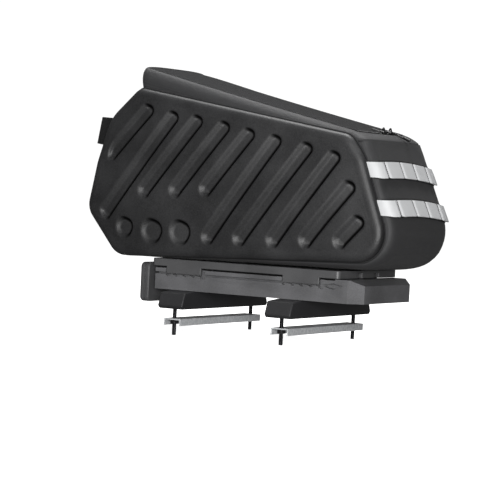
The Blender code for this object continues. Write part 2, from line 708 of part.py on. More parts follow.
def build_slide_plate():
    """Plate bolted under the bag, with four side tabs, two skids and two slots in its rear edge."""
    rear = PLATE_FRONT + PLATE_LENGTH
    corners = [Vector(point) for point in
               box_outline(PLATE_FRONT, rear, -PLATE_HALF_WIDTH, PLATE_HALF_WIDTH)]
    outline = rounded_path([(point, PLATE_CORNER_RADIUS) for point in corners], True)
    plate = add_object("slide_plate", prism(outline, plan_place, PLATE_BOTTOM, PLATE_TOP), MOUNT_PLASTIC)
    joined = []
    middle = PLATE_BOTTOM + PLATE_THICKNESS / 2
    for side in (-1, 1):
        edges = sorted((side * PLATE_HALF_WIDTH, side * (PLATE_HALF_WIDTH - TAB_THICKNESS)))
        for start in TAB_STARTS:
            joined.append(((start + GAP, edges[0], PLATE_BOTTOM - TAB_DROP),
                           (start + TAB_LENGTH, edges[1], middle)))
        skid = side * PLATE_SKID_PLACE
        joined.append(((-RAIL_LENGTH + RIB_EDGE, skid - PLATE_SKID_WIDTH / 2, RAIL_LIP_TOP + GAP),
                       (-RAIL_TAIL_LENGTH - RIB_EDGE, skid + PLATE_SKID_WIDTH / 2, middle)))
    boolean(plate, helper("plate_tabs", boxes(joined)), "UNION")
    slots = []
    for side in (-1, 1):
        place = side * PLATE_SLOT_PLACE
        slots.append(((rear - PLATE_SLOT_DEPTH, place - PLATE_SLOT_WIDTH / 2, PLATE_BOTTOM - TAB_DROP),
                      (rear + PLATE_SLOT_DEPTH, place + PLATE_SLOT_WIDTH / 2,
                       PLATE_BOTTOM + PLATE_SLOT_HEIGHT)))
    boolean(plate, helper("plate_slots", boxes(slots)), "DIFFERENCE")


def corner_rows(table):
    """Corner places and radii of one outline table."""
    return [(shell_point(along, up), radius * SHELL_HEIGHT) for _, along, up, radius in table]


SHELL_PATH = rounded_path(corner_rows(SHELL_CORNERS), True)
SEAM_PATH = offset_path(SHELL_PATH, SEAM_INSET, True)
CORNER_POINTS = ARC_STEPS + 1
FRONT_TOP_MIDDLE = ARC_STEPS // 2
REAR_TOP_FIRST = (len(SHELL_CORNERS) - 1) * CORNER_POINTS

# The gusset's two edges and its middle line, point by point from the front top to the rear top
GUSSET_SEAM = ([SEAM_PATH[FRONT_TOP_MIDDLE]] + SEAM_PATH[CORNER_POINTS:REAR_TOP_FIRST]
               + [SEAM_PATH[REAR_TOP_FIRST]])
GUSSET_MIDDLE = rounded_path(corner_rows(MIDDLE_CORNERS), False)


def bulge(share):
    """How far the gusset stands out at a share of its half width: full in the middle, none at a seam."""
    return max(0.0, 1.0 - abs(share) ** GUSSET_SQUARENESS) ** (1.0 / GUSSET_SQUARENESS)


def across_gusset(seam, middle, share):
    """Point of the gusset between a seam point and its middle point."""
    place = seam.lerp(middle, bulge(share))
    return Vector((place.x, share * SEAM_HALF_WIDTH, place.y))


def build_gusset():
    """Fabric band sewn between the shells: front, bottom and rear in one piece, open at the top."""
    seam_normals = path_normals(GUSSET_SEAM, False)
    middle_normals = path_normals(GUSSET_MIDDLE, False)
    outer, inner = [], []
    for index, (seam, middle) in enumerate(zip(GUSSET_SEAM, GUSSET_MIDDLE)):
        outer.append([across_gusset(seam, middle, share) for share in GUSSET_COLUMNS])
        seam_in = seam + seam_normals[index] * FABRIC
        middle_in = middle + middle_normals[index] * FABRIC
        inner.append([across_gusset(seam_in, middle_in, share) for share in GUSSET_COLUMNS])
    add_object("gusset", sheet_strip(outer, inner), DARK_FABRIC)


def shell_ring(side, inset, depth):
    """The shell's outline at an inset and a depth outside the seam."""
    path = offset_path(SHELL_PATH, inset, True)
    across = side * (SEAM_HALF_WIDTH + GAP + depth)
    return [side_place(point.x, point.y, across) for point in path]


def pocket_into(bm, side, low, high, half_width):
    """Add the tapered cutter of one pressed groove between two end centres."""
    face = SEAM_HALF_WIDTH + GAP + SHELL_DEPTH
    above = GROOVE_DEPTH / 5
    taper = GROOVE_TAPER / GROOVE_DEPTH
    rings = []
    for depth in (-above, GROOVE_DEPTH):
        radius = half_width - taper * depth
        direction = (high - low).normalized() if (high - low).length > 0 else Vector((0.0, 1.0))
        turn = math.atan2(direction.y, direction.x)
        points = []
        for centre, start in ((high, turn - math.pi / 2), (low, turn + math.pi / 2)):
            for step in range(ARC_STEPS * 2 - 1):
                angle = start + math.pi * step / (ARC_STEPS * 2 - 2)
                points.append(centre + Vector((math.cos(angle), math.sin(angle))) * radius)
        if (high - low).length == 0:
            points = points[:ARC_STEPS * 2 - 2] + points[ARC_STEPS * 2 - 1:-1]
        rings.append([side_place(point.x, point.y, side * (face - depth)) for point in points])
    outer, inner = ([bm.verts.new(point) for point in ring] for ring in rings)
    count = len(outer)
    bm.faces.new(outer)
    bm.faces.new(list(reversed(inner)))
    for index in range(count):
        following = (index + 1) % count
        bm.faces.new((outer[index], inner[index], inner[following], outer[following]))


def build_side_shell(name, side):
    """Moulded side panel: a rounded dish with pressed grooves and round dimples in its face."""
    rings = [shell_ring(side, SHELL_DEPTH * SHELL_EDGE[-1][0], SHELL_DEPTH - SHELL_WALL),
             shell_ring(side, SHELL_WALL, (SHELL_DEPTH - SHELL_WALL) * 0.5),
             shell_ring(side, SEAM_INSET + SHELL_WALL, 0.0)]
    rings += [shell_ring(side, inset * SHELL_DEPTH, depth * SHELL_DEPTH) for inset, depth in SHELL_EDGE]
    shell = add_object(name, lofted(rings, False), MOULDED_SHELL)
    bm = bmesh.new()
    for _, low_along, low_up, high_along, high_up in SHELL_GROOVES:
        pocket_into(bm, side, shell_point(low_along, low_up), shell_point(high_along, high_up),
                    GROOVE_HALF_WIDTH)
    for _, along, up, radius in SHELL_DIMPLES:
        centre = shell_point(along, up)
        pocket_into(bm, side, centre, centre, GROOVE_HALF_WIDTH * radius)
    boolean(shell, helper(f"{name}_grooves", mesh_from(bm)), "DIFFERENCE")


# Top edge of the collar, where the zip runs
ZIP_FRONT, ZIP_REAR_CORNER, ZIP_REAR_MIDDLE = [shell_point(along, up) for _, along, up in ZIP_CORNERS]
ZIP_HALF_WIDTH = SEAM_HALF_WIDTH - COLLAR_LEAN
ZIP_SLOPE = (ZIP_REAR_CORNER.y - ZIP_FRONT.y) / (ZIP_REAR_CORNER.x - ZIP_FRONT.x)


def collar_side_path():
    """Lower edge of the collar along one shell, from the front top corner to the rear one."""
    front = [SEAM_PATH[index] for index in range(FRONT_TOP_MIDDLE, -1, -1)]
    rear = [SEAM_PATH[index] for index in range(len(SEAM_PATH) - 1, REAR_TOP_FIRST - 1, -1)]
    return [point + Vector((0.0, GAP)) for point in front + rear]


def collar_rings():
    """Lower and upper edges of the collar, point by point round the bag."""
    lower_side = collar_side_path()
    front_x, rear_x = lower_side[0].x, lower_side[-1].x
    upper_side = []
    for point in lower_side:
        share = (point.x - front_x) / (rear_x - front_x)
        upper_side.append(ZIP_FRONT.lerp(ZIP_REAR_CORNER, share))
    lift = Vector((0.0, GAP))
    inner_columns = GUSSET_COLUMNS[1:-1]
    lower, upper = [], []
    for low, high in zip(lower_side, upper_side):
        lower.append(Vector((low.x, -SEAM_HALF_WIDTH, low.y)))
        upper.append(Vector((high.x, -ZIP_HALF_WIDTH, high.y)))
    for share in inner_columns:
        lower.append(across_gusset(lower_side[-1], GUSSET_MIDDLE[-1] + lift, share))
        place = ZIP_REAR_CORNER.lerp(ZIP_REAR_MIDDLE, bulge(share))
        upper.append(Vector((place.x, share * ZIP_HALF_WIDTH, place.y)))
    for low, high in zip(reversed(lower_side), reversed(upper_side)):
        lower.append(Vector((low.x, SEAM_HALF_WIDTH, low.y)))
        upper.append(Vector((high.x, ZIP_HALF_WIDTH, high.y)))
    for share in reversed(inner_columns):
        lower.append(across_gusset(lower_side[0], GUSSET_MIDDLE[0] + lift, share))
        upper.append(Vector((ZIP_FRONT.x, share * ZIP_HALF_WIDTH, ZIP_FRONT.y)))
    return lower, upper


def inset_ring(ring, distance):
    """A ring of 3-D points moved inwards in plan."""
    flat = [Vector((point.x, point.y)) for point in ring]
    moved = offset_path(flat, distance, True)
    return [Vector((place.x, place.y, point.z)) for place, point in zip(moved, ring)]


def build_collar():
    """Fabric upper wall round the opening: tall at the front and shallow at the rear."""
    lower, upper = collar_rings()
    rings = [lower, upper, inset_ring(upper, FABRIC), inset_ring(lower, FABRIC)]
    add_object("upper_collar", lofted(rings, True), DARK_FABRIC)


def zip_line(inset):
    """The zip's path in from the collar's edge: left front, round the rear and right front."""
    half = ZIP_HALF_WIDTH - inset
    set_back = FABRIC + GAP
    left, right = [Vector((ZIP_FRONT.x + set_back, side * half, ZIP_FRONT.y + ZIP_SLOPE * set_back))
                   for side in (-1, 1)]
    rear = []
    for share in GUSSET_COLUMNS:
        edge = ZIP_REAR_CORNER.lerp(ZIP_REAR_MIDDLE, bulge(share))
        rear.append(Vector((edge.x - inset, share * half, edge.y - ZIP_SLOPE * inset)))
    return [left] + rear + [right]


def build_zip():
    """Zip with its tapes: a flat strip along both sides and round the rear of the lid."""
    outer = zip_line(FABRIC + GAP)
    inner = zip_line(FABRIC + GAP + ZIP_WIDTH)
    down = Vector((0.0, 0.0, -ZIP_THICKNESS))
    sections = [[a, b, b + down, a + down] for a, b in zip(outer, inner)]
    add_object("zip_tape", lofted(sections, False), ZIP_PLASTIC)


def build_lid():
    """Padded fabric lid with a low crown, sewn at its front edge and zipped on the other three."""
    line = zip_line(FABRIC + ZIP_WIDTH + 2 * GAP)
    front_left, rear = line[0], line[1:-1]
    rows, under = [], []
    for step in range(LID_ROWS + 1):
        share = step / LID_ROWS
        row, below = [], []
        for column, end in zip(GUSSET_COLUMNS, rear):
            start = Vector((front_left.x, end.y, front_left.z))
            place = start.lerp(end, share)
            crown = LID_CROWN * (1.0 - column ** 2) * (1.0 - (2.0 * share - 1.0) ** 4)
            row.append(place + Vector((0.0, 0.0, crown)))
            below.append(place + Vector((0.0, 0.0, crown - LID_THICKNESS)))
        rows.append(row)
        under.append(below)
    add_object("lid", sheet_strip(rows, under), DARK_FABRIC)


def x_at_height(path, height, rearmost):
    """Place along the bag where a side-view path crosses a height."""
    found = []
    for first, second in zip(path, path[1:]):
        if min(first.y, second.y) <= height <= max(first.y, second.y) and first.y != second.y:
            share = (height - first.y) / (second.y - first.y)
            found.append(first.x + (second.x - first.x) * share)
    return max(found) if rearmost else min(found)


def gusset_surface(height, share, stand_off, rearmost):
    """Point that stands off the gusset's front or rear face at a height and a share across it."""
    outline = [seam.lerp(middle, bulge(share)) for seam, middle in zip(GUSSET_SEAM, GUSSET_MIDDLE)]
    along = x_at_height(outline, height, rearmost) + (stand_off if rearmost else -stand_off)
    return Vector((along, share * SEAM_HALF_WIDTH, height))


def webbing_rows(low, height, columns, stand_off):
    """Outer and inner grids of a webbing across the rear face; its middle arches up."""
    outer, inner = [], []
    for share, lift in columns:
        arch = REFLECTIVE_ARCH * (1.0 - share ** 2)
        outer_row, inner_row = [], []
        for level in WEBBING_LEVELS:
            level_height = low + arch + height * level
            outer_row.append(gusset_surface(level_height, share, stand_off + WEBBING + lift, True))
            inner_row.append(gusset_surface(level_height, share, stand_off + lift, True))
        outer.append(outer_row)
        inner.append(inner_row)
    return outer, inner


def build_reflectors():
    """Two reflective webbings, each stitched into pouched segments on a wider black webbing."""
    half = [(-share, lift * POUCH_DEPTH) for share, lift in WEBBING_COLUMNS]
    pouched = half + [(-share, lift) for share, lift in reversed(half[:-1])]
    flat = [(share, 0.0) for share, _ in pouched]
    margin = (BACKING_HEIGHT - REFLECTIVE_HEIGHT) / 2
    for name, above in (("upper", UPPER_WEBBING_ABOVE_FOOT), ("lower", LOWER_WEBBING_ABOVE_FOOT)):
        low = SHELL_FOOT + above
        outer, inner = webbing_rows(low - margin, BACKING_HEIGHT, flat, SEWN_GAP)
        add_object(f"{name}_backing_webbing", sheet_strip(outer, inner), BLACK_WEBBING)
        over_backing = SEWN_GAP + WEBBING + GAP
        outer, inner = webbing_rows(low, REFLECTIVE_HEIGHT, pouched, over_backing)
        add_object(f"{name}_reflective_webbing", sheet_strip(outer, inner), REFLECTIVE)


def build_front_loop():
    """Webbing loop on the front face that passes round the seat post."""
    low = SHELL_FOOT + LOOP_ABOVE_FOOT
    half = LOOP_HALF_WIDTH / SEAM_HALF_WIDTH
    stations = [(-share, out) for share, out in LOOP_STATIONS]
    stations += [(-share, out) for share, out in reversed(stations)]
    places = []
    for share, out in stations:
        row = []
        for level in WEBBING_LEVELS:
            sewn = gusset_surface(low + LOOP_HEIGHT * level, share * half, SEWN_GAP, False)
            front = -LOOP_REACH + LOOP_LEAN * (level - 0.5)
            row.append(Vector((sewn.x + (front - sewn.x) * out, sewn.y, sewn.z)))
        places.append(row)
    flat = [Vector((row[0].x, row[0].y)) for row in places]
    outer = []
    for row, normal in zip(places, path_normals(flat, False)):
        shift = Vector((normal.x, normal.y, 0.0)) * WEBBING
        outer.append([point + shift for point in row])
    add_object("front_loop", sheet_strip(outer, places), BLACK_WEBBING)


def build_zip_sliders():
    """Two zip sliders parked on the rear curve, each with its pull."""
    rear = zip_line(FABRIC + GAP + ZIP_WIDTH / 2)[1:-1]
    for name, station, length, heading, drop in SLIDERS:
        before, after = rear[int(station)], rear[int(station) + 1]
        place = before.lerp(after, station - int(station))
        along = (after - before).normalized()
        across = Vector((-ZIP_SLOPE, 0.0, 1.0)).cross(along).normalized()
        turn = Matrix((along, across, along.cross(across))).transposed().to_4x4()
        body = boxes([((-SLIDER_LENGTH / 2, -SLIDER_WIDTH / 2, GAP),
                       (SLIDER_LENGTH / 2, SLIDER_WIDTH / 2, SLIDER_HEIGHT))])
        body.transform(Matrix.Translation(place) @ turn)
        bevel(add_object(f"zip_slider_{name}", body, ZIP_PLASTIC), SLIDER_HEIGHT / 5)
        facing = Matrix.Rotation(math.radians(heading), 4, "Z")
        tilt = Matrix.Rotation(math.radians(drop), 4, "Y")
        lean = PULL_WIDTH * math.sin(math.radians(max(0.0, -drop)))
        start = Matrix.Translation(Vector((SLIDER_WIDTH / 2 + GAP + lean, 0.0, SLIDER_HEIGHT / 3)))
        pull = boxes([((0.0, -PULL_WIDTH / 2, 0.0), (length, PULL_WIDTH / 2, PULL_WIDTH))])
        pull.transform(Matrix.Translation(place) @ facing @ start @ tilt)
        bevel(add_object(f"zip_pull_{name}", pull, ZIP_PLASTIC), PULL_WIDTH / 5)


def hang_on(name, place, prefixes):
    """Put the pieces whose names start with any prefix under an empty on their joint's axis."""
    empty = bpy.data.objects.new(name, None)
    bpy.context.scene.collection.objects.link(empty)
    empty.parent = ASSEMBLY
    empty.location = place
    for piece in list(ASSEMBLY.children):
        if piece.type == "MESH" and piece.name.startswith(prefixes):
            piece.parent = empty
            piece.location = -place


def stand_on_origin():
    """Move the whole assembly so that its box stands on the origin."""
    bpy.context.view_layer.update()
    graph = bpy.context.evaluated_depsgraph_get()
    low = Vector((math.inf, math.inf, math.inf))
    high = -low
    for made in bpy.context.scene.objects:
        if made.type != "MESH" or made.hide_render:
            continue
        shown = made.evaluated_get(graph)
        for vertex in shown.data.vertices:
            point = shown.matrix_world @ vertex.co
            low = Vector(min(pair) for pair in zip(low, point))
            high = Vector(max(pair) for pair in zip(high, point))
    middle = (low + high) / 2
    ASSEMBLY.location = Vector((-middle.x, -middle.y, -low.z))


build_base_rail()
build_release_catch()
build_cross_block("front_cross_block", FRONT_BLOCK_X)
build_cross_block("rear_cross_block", REAR_BLOCK_X)
build_clamp("front", FRONT_BLOCK_X)
build_clamp("rear", REAR_BLOCK_X)
build_slide_plate()
build_gusset()
build_side_shell("side_shell_left", -1)
build_side_shell("side_shell_right", 1)
build_collar()
build_zip()
build_lid()
build_reflectors()
build_front_loop()
build_zip_sliders()
hang_on("catch_pivot", Vector((CATCH_PIVOT_X, 0.0, CATCH_PIVOT_HEIGHT)), CATCH_PIECES)
hang_on("front_clamp", Vector((FRONT_BLOCK_X, 0.0, BLOCK_FOOT - CLAMP_OPENING)), FRONT_CLAMP_PIECES)
hang_on("rear_clamp", Vector((REAR_BLOCK_X, 0.0, BLOCK_FOOT - CLAMP_OPENING)), REAR_CLAMP_PIECES)
hang_on("bag_seat", Vector((PLATE_FRONT + PLATE_LENGTH / 2, 0.0, PLATE_BOTTOM)), BAG_PIECES)
stand_on_origin()
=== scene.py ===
import math

import bmesh
import bpy
from mathutils import Matrix, Vector, noise


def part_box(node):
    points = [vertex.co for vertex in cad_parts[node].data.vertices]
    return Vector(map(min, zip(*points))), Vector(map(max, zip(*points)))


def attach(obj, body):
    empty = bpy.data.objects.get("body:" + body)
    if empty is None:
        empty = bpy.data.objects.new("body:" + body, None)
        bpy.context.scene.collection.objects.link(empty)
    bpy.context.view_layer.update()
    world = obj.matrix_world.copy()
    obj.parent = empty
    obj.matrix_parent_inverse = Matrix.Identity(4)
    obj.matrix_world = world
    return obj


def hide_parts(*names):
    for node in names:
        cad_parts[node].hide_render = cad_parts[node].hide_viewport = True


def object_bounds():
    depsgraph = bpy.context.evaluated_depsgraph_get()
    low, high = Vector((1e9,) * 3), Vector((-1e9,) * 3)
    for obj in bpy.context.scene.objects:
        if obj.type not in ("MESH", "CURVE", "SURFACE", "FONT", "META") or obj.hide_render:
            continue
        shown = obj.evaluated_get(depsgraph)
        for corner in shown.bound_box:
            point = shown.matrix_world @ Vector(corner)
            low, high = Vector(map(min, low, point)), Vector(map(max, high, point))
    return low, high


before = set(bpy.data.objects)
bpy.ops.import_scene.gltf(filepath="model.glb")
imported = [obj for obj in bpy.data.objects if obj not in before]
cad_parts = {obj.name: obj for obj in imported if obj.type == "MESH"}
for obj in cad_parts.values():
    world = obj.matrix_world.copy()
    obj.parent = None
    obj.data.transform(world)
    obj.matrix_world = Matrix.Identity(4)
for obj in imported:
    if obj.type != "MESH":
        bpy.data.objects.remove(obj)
cad_low, cad_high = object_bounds()

# Camera. It stands off the bag's rear on its left, a little over the mount, with a long lens.
# Its place is counted from the foot of the rail's rear end, where the photograph shows it best.
rail_low, rail_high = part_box("base_rail")
REAR_FOOT = Vector((rail_high.x, 0.0, rail_low.z))
CAMERA_FROM_REAR_FOOT = Vector((1.0581, -2.1076, 0.1328))
CAMERA_AZIMUTH = math.radians(30.5)
CAMERA_DROP = math.radians(1.95)
CAMERA_ROLL = math.radians(2.85)
LENS_MM = 149.8
SENSOR_MM = 36.0


def placed(name, data):
    """A new object in the scene with this data."""
    made = bpy.data.objects.new(name, data)
    bpy.context.scene.collection.objects.link(made)
    return made


forward = Vector((-math.sin(CAMERA_AZIMUTH) * math.cos(CAMERA_DROP),
                  math.cos(CAMERA_AZIMUTH) * math.cos(CAMERA_DROP), -math.sin(CAMERA_DROP)))
level = Vector((math.cos(CAMERA_AZIMUTH), math.sin(CAMERA_AZIMUTH), 0.0))
upright = level.cross(forward)
right = math.cos(CAMERA_ROLL) * level + math.sin(CAMERA_ROLL) * upright
up = math.cos(CAMERA_ROLL) * upright - math.sin(CAMERA_ROLL) * level
camera = placed("camera", bpy.data.cameras.new("camera"))
camera.data.lens = LENS_MM
camera.data.sensor_width = SENSOR_MM
camera.data.clip_start = 0.05
camera.rotation_mode = "QUATERNION"
camera.location = REAR_FOOT + CAMERA_FROM_REAR_FOOT
camera.rotation_quaternion = Matrix((right, up, -forward)).transposed().to_quaternion()
bpy.context.scene.camera = camera

# Studio. The object stands on opal acrylic lit from below, in a white room that the camera sees.
# The sheet throws no light back on the object, as the photograph's dark undersides ask.
FLOOR_RADIUS = 12.0
OPAL = "#f2f2f1"
OPAL_GLOW = 0.93
ROOM_FILL = 0.13
ROOM_SEEN = 1.05


def linear(code):
    """Linear colour of an sRGB hex code."""
    shares = [int(code[i:i + 2], 16) / 255 for i in (1, 3, 5)]
    return [c / 12.92 if c <= 0.04045 else ((c + 0.055) / 1.055) ** 2.4 for c in shares] + [1.0]


def add_node(tree, kind, values=(), links=(), **settings):
    """A node with its settings, the values of its inputs and the sockets linked to them. Its kind is
    named without the family, which is the tree's own."""
    made = tree.nodes.new(tree.bl_idname.removesuffix("Tree") + kind)
    for name, value in settings.items():
        setattr(made, name, value)
    for name, value in dict(values).items():
        made.inputs[name].default_value = value
    for name, socket in dict(links).items():
        tree.links.new(socket, made.inputs[name])
    return made


def as_mesh(bm, name):
    """The plain mesh of a finished bmesh."""
    mesh = bpy.data.meshes.new(name)
    bm.to_mesh(mesh)
    bm.free()
    return mesh


floor_bm = bmesh.new()
bmesh.ops.create_circle(floor_bm, cap_ends=True, segments=96, radius=FLOOR_RADIUS)
floor_mesh = as_mesh(floor_bm, "floor")
floor = placed("floor", floor_mesh)
floor.visible_diffuse = False
floor.visible_glossy = False
opal = bpy.data.materials.new("opal_acrylic")
opal.use_nodes = True
opal_shader = opal.node_tree.nodes["Principled BSDF"]
opal_shader.inputs["Base Color"].default_value = linear(OPAL)
opal_shader.inputs["Roughness"].default_value = 0.9
opal_shader.inputs["Specular IOR Level"].default_value = 0.1
opal_shader.inputs["Emission Color"].default_value = linear("#ffffff")
opal_shader.inputs["Emission Strength"].default_value = OPAL_GLOW
floor_mesh.materials.append(opal)

world = bpy.data.worlds.new("white_room")
bpy.context.scene.world = world
world.use_nodes = True
room = world.node_tree
room.nodes["Background"].inputs["Color"].default_value = linear("#ffffff")
room.nodes["Background"].inputs["Strength"].default_value = ROOM_FILL
seen = add_node(room, "Background", {"Color": linear("#ffffff"), "Strength": ROOM_SEEN})
ray = add_node(room, "LightPath")
both = add_node(room, "MixShader", links={
    0: ray.outputs["Is Camera Ray"], 1: room.nodes["Background"].outputs[0], 2: seen.outputs[0]})
room.links.new(both.outputs[0], room.nodes["World Output"].inputs["Surface"])
bpy.context.scene.view_settings.view_transform = "Standard"

# Soft boxes: name, place in metres from the object's middle, size in metres, power in watts.
# The key stands close on the right, so its light falls off to the left as in the photograph.
SOFT_BOXES = [
    ("key_box", (0.72, -1.28, 0.06), 0.5, 25.0),
    ("top_box", (-0.05, 0.16, 1.50), 0.9, 36.0),
]
middle = (cad_low + cad_high) / 2
for box_name, place, size, power in SOFT_BOXES:
    lamp = bpy.data.lights.new(box_name, "AREA")
    lamp.shape = "SQUARE"
    lamp.size = size
    lamp.energy = power
    lamp_object = placed(box_name, lamp)
    lamp_object.location = middle + Vector(place)
    lamp_object.rotation_euler = (-Vector(place)).to_track_quat("-Z", "Y").to_euler()


# Moulded mount. The rail, the slide plate on it and the rocking catch are injection-moulded,
# glass-filled nylon in a dark satin grey, with small rounds on every edge from the tool.
def finish_of(name, colour, roughness, **sockets):
    """A material with its Principled shader's own values set; returns it with its tree and shader."""
    made = bpy.data.materials.new(name)
    made.use_nodes = True
    shader = made.node_tree.nodes["Principled BSDF"]
    shader.inputs["Base Color"].default_value = linear(colour)
    shader.inputs["Roughness"].default_value = roughness
    for socket, value in sockets.items():
        shader.inputs[socket.replace("_", " ")].default_value = value
    return made, made.node_tree, shader


def tinted(tree, dark, light, share):
    """A colour between two hex codes, by a socket that runs from nought to one."""
    made = add_node(tree, "Mix", {6: linear(dark), 7: linear(light)}, {0: share}, data_type="RGBA")
    return made.outputs[2]


def cloudy(tree, place, scale, detail):
    """Soft noise over a place socket."""
    return add_node(tree, "TexNoise", {"Scale": scale, "Detail": detail}, {"Vector": place}).outputs["Fac"]


def ranged(tree, share, low, high):
    """A socket's share of nought to one as a value between two others."""
    return add_node(tree, "MapRange", {"To Min": low, "To Max": high}, {"Value": share}).outputs[0]


def dress(tree, shader, colour, gloss, height, strength, depth):
    """Feed a shader its colour and roughness, and raise the surface by a height, all from sockets."""
    tree.links.new(colour, shader.inputs["Base Color"])
    if gloss is not None:
        tree.links.new(gloss, shader.inputs["Roughness"])
    if height is not None:
        relief = add_node(tree, "Bump", {"Strength": strength, "Distance": depth}, {"Height": height})
        tree.links.new(relief.outputs[0], shader.inputs["Normal"])


def moulded(name, dark, light, roughness, grain, depth):
    """Moulded plastic on Object coordinates: a spark-eroded grain, faint clouds and worn gloss."""
    made, tree, shader = finish_of(name, dark, roughness)
    place = add_node(tree, "TexCoord").outputs["Object"]
    clouds = cloudy(tree, place, 22.0, 4.0)
    specks = cloudy(tree, place, 0.8 / grain, 2.0)
    shares = add_node(tree, "Math", {}, {0: clouds, 1: specks}, operation="ADD")
    spread = add_node(tree, "MapRange", {"From Min": 0.7, "From Max": 1.3}, {"Value": shares.outputs[0]})
    grains = add_node(tree, "TexVoronoi", {"Scale": 1.0 / grain}, {"Vector": place})
    pits = cloudy(tree, place, 0.6 / grain, 5.0)
    both_grains = add_node(tree, "Math", {}, {0: grains.outputs["Distance"], 1: pits}, operation="ADD")
    dress(tree, shader, tinted(tree, dark, light, spread.outputs[0]),
          ranged(tree, clouds, roughness - 0.05, roughness + 0.06), both_grains.outputs[0], 0.55, depth)
    return made


# Glass-filled nylon from a spark-eroded tool: satin, slightly mottled, with a fine even grain.
# The grain is drawn at 0.7 mm, about twice the real one, so that it shows.
MOUNT_NYLON = moulded("satin_nylon", "#3f3f40", "#555556", 0.42, 0.0007, 0.00010)
# The rail is a paler batch of the same nylon.
RAIL_NYLON = moulded("pale_satin_nylon", "#484849", "#68686a", 0.42, 0.0007, 0.00010)
# The same nylon from a rougher tool on the cross blocks: darker and duller.
BLOCK_NYLON = moulded("matt_nylon", "#1c1c1d", "#28282a", 0.55, 0.0009, 0.00012)


def link_piece(name, mesh, finish, sharp=38.0):
    """An object at the origin with this mesh, one material and smooth faces."""
    mesh.name = name
    mesh.materials.clear()
    mesh.materials.append(finish)
    mesh.shade_smooth()
    mesh.set_sharp_from_angle(angle=math.radians(sharp))
    return placed(name, mesh)


def apply_all(made):
    """Turn an object's modifiers into its plain mesh."""
    bpy.context.view_layer.update()
    graph = bpy.context.evaluated_depsgraph_get()
    result = bpy.data.meshes.new_from_object(made.evaluated_get(graph))
    made.modifiers.clear()
    old = made.data
    made.data = result
    result.name = made.name
    bpy.data.meshes.remove(old)
    return made


WELD_REACH = 2e-6
FLAT_ANGLE = math.radians(1.0)
EDGE_ANGLE = math.radians(28.0)


def edged_copy(name, node, finish, round_edge, segments=2):
    """The node's own shape with its edges rounded, as a new piece."""
    bm = bmesh.new()
    bm.from_mesh(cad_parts[node].data)
    bmesh.ops.remove_doubles(bm, verts=bm.verts, dist=WELD_REACH)
    bmesh.ops.dissolve_limit(bm, angle_limit=FLAT_ANGLE, verts=bm.verts, edges=bm.edges)
    made = link_piece(name, as_mesh(bm, name), finish, 30.0)
    rounding = made.modifiers.new("rounding", "BEVEL")
    rounding.width = round_edge
    rounding.segments = segments
    rounding.limit_method = "ANGLE"
    rounding.angle_limit = EDGE_ANGLE
    rounding.use_clamp_overlap = True
    rounding.harden_normals = True
    return apply_all(made)


def carry(made, body, slot_name, *nodes):
    """Put a piece on its body and let it stand for these nodes, which are hidden. slot_name is not used."""
    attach(made, body)
    if nodes:
        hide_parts(*nodes)
    return made


RAIL_ROUND = 0.0005
PLATE_ROUND = 0.0008
CATCH_ROUND = 0.0005
carry(edged_copy("rail", "base_rail", RAIL_NYLON, RAIL_ROUND), "mount", "mount_plastic", "base_rail")
carry(edged_copy("bag_slide_plate", "slide_plate", MOUNT_NYLON, PLATE_ROUND, 3),
      "bag", "mount_plastic", "slide_plate")
carry(edged_copy("catch", "release_catch", MOUNT_NYLON, CATCH_ROUND),
      "release_catch", "mount_plastic", "release_catch")

# Cross blocks. Two nylon bars lie crosswise under the rail, with sloped ends.
# They are moulded in a darker, duller nylon and drilled for the clamp bolts.
BLOCK_ROUND = 0.0007
for end in ("front", "rear"):
    block = edged_copy(f"{end}_block", f"{end}_cross_block", BLOCK_NYLON, BLOCK_ROUND)
    carry(block, "mount", "block_plastic", f"{end}_cross_block")

# Clamp channels. Each is a strip of zinc-plated steel folded into a U, drilled for two bolts.
# The plating is pale and slightly blue, with a fine spangle and soft scuffs from handling.
ZINC, zinc_tree, zinc_shader = finish_of("zinc_plated_steel", "#d4d6d8", 0.34, Metallic=0.35)
zinc_place = add_node(zinc_tree, "TexCoord").outputs["Object"]
# Spangles of about 3 mm, and scuffs drawn out along the channel
spangle = add_node(zinc_tree, "TexVoronoi", {"Scale": 330.0}, {"Vector": zinc_place})
scuff_way = add_node(zinc_tree, "Mapping", {"Scale": (900.0, 60.0, 900.0)}, {"Vector": zinc_place})
scuffs = cloudy(zinc_tree, scuff_way.outputs[0], 1.0, 3.0)
dress(zinc_tree, zinc_shader, tinted(zinc_tree, "#c0c3c6", "#e6e8e9", spangle.outputs["Distance"]),
      ranged(zinc_tree, scuffs, 0.26, 0.46), scuffs, 0.3, 0.00005)
CHANNEL_ROUND = 0.0004
for end in ("front", "rear"):
    channel = edged_copy(f"{end}_channel", f"{end}_clamp_channel", ZINC, CHANNEL_ROUND)
    carry(channel, f"{end}_clamp", "galvanised_steel", f"{end}_clamp_channel")

# Bolts, nuts and catch pin. Plain M5 steel, blackened in hot salts, with rolled threads
# that show below the blocks. The nuts are held in the channels and drawn up by the bolts.
BLACK_STEEL, steel_tree, steel_shader = finish_of("blackened_steel", "#4a4a4c", 0.38, Metallic=1.0)
steel_place = add_node(steel_tree, "TexCoord").outputs["Object"]
oil = cloudy(steel_tree, steel_place, 160.0, 4.0)
dress(steel_tree, steel_shader, tinted(steel_tree, "#37373a", "#5b5b5d", oil),
      ranged(steel_tree, oil, 0.28, 0.5), None, 0.0, 0.0)

BOLT_RADIUS = 0.0025
THREAD_PITCH = 0.0008
THREAD_DEPTH = 0.00035
THREAD_SIDES = 20
BOLT_TIP = 0.0006


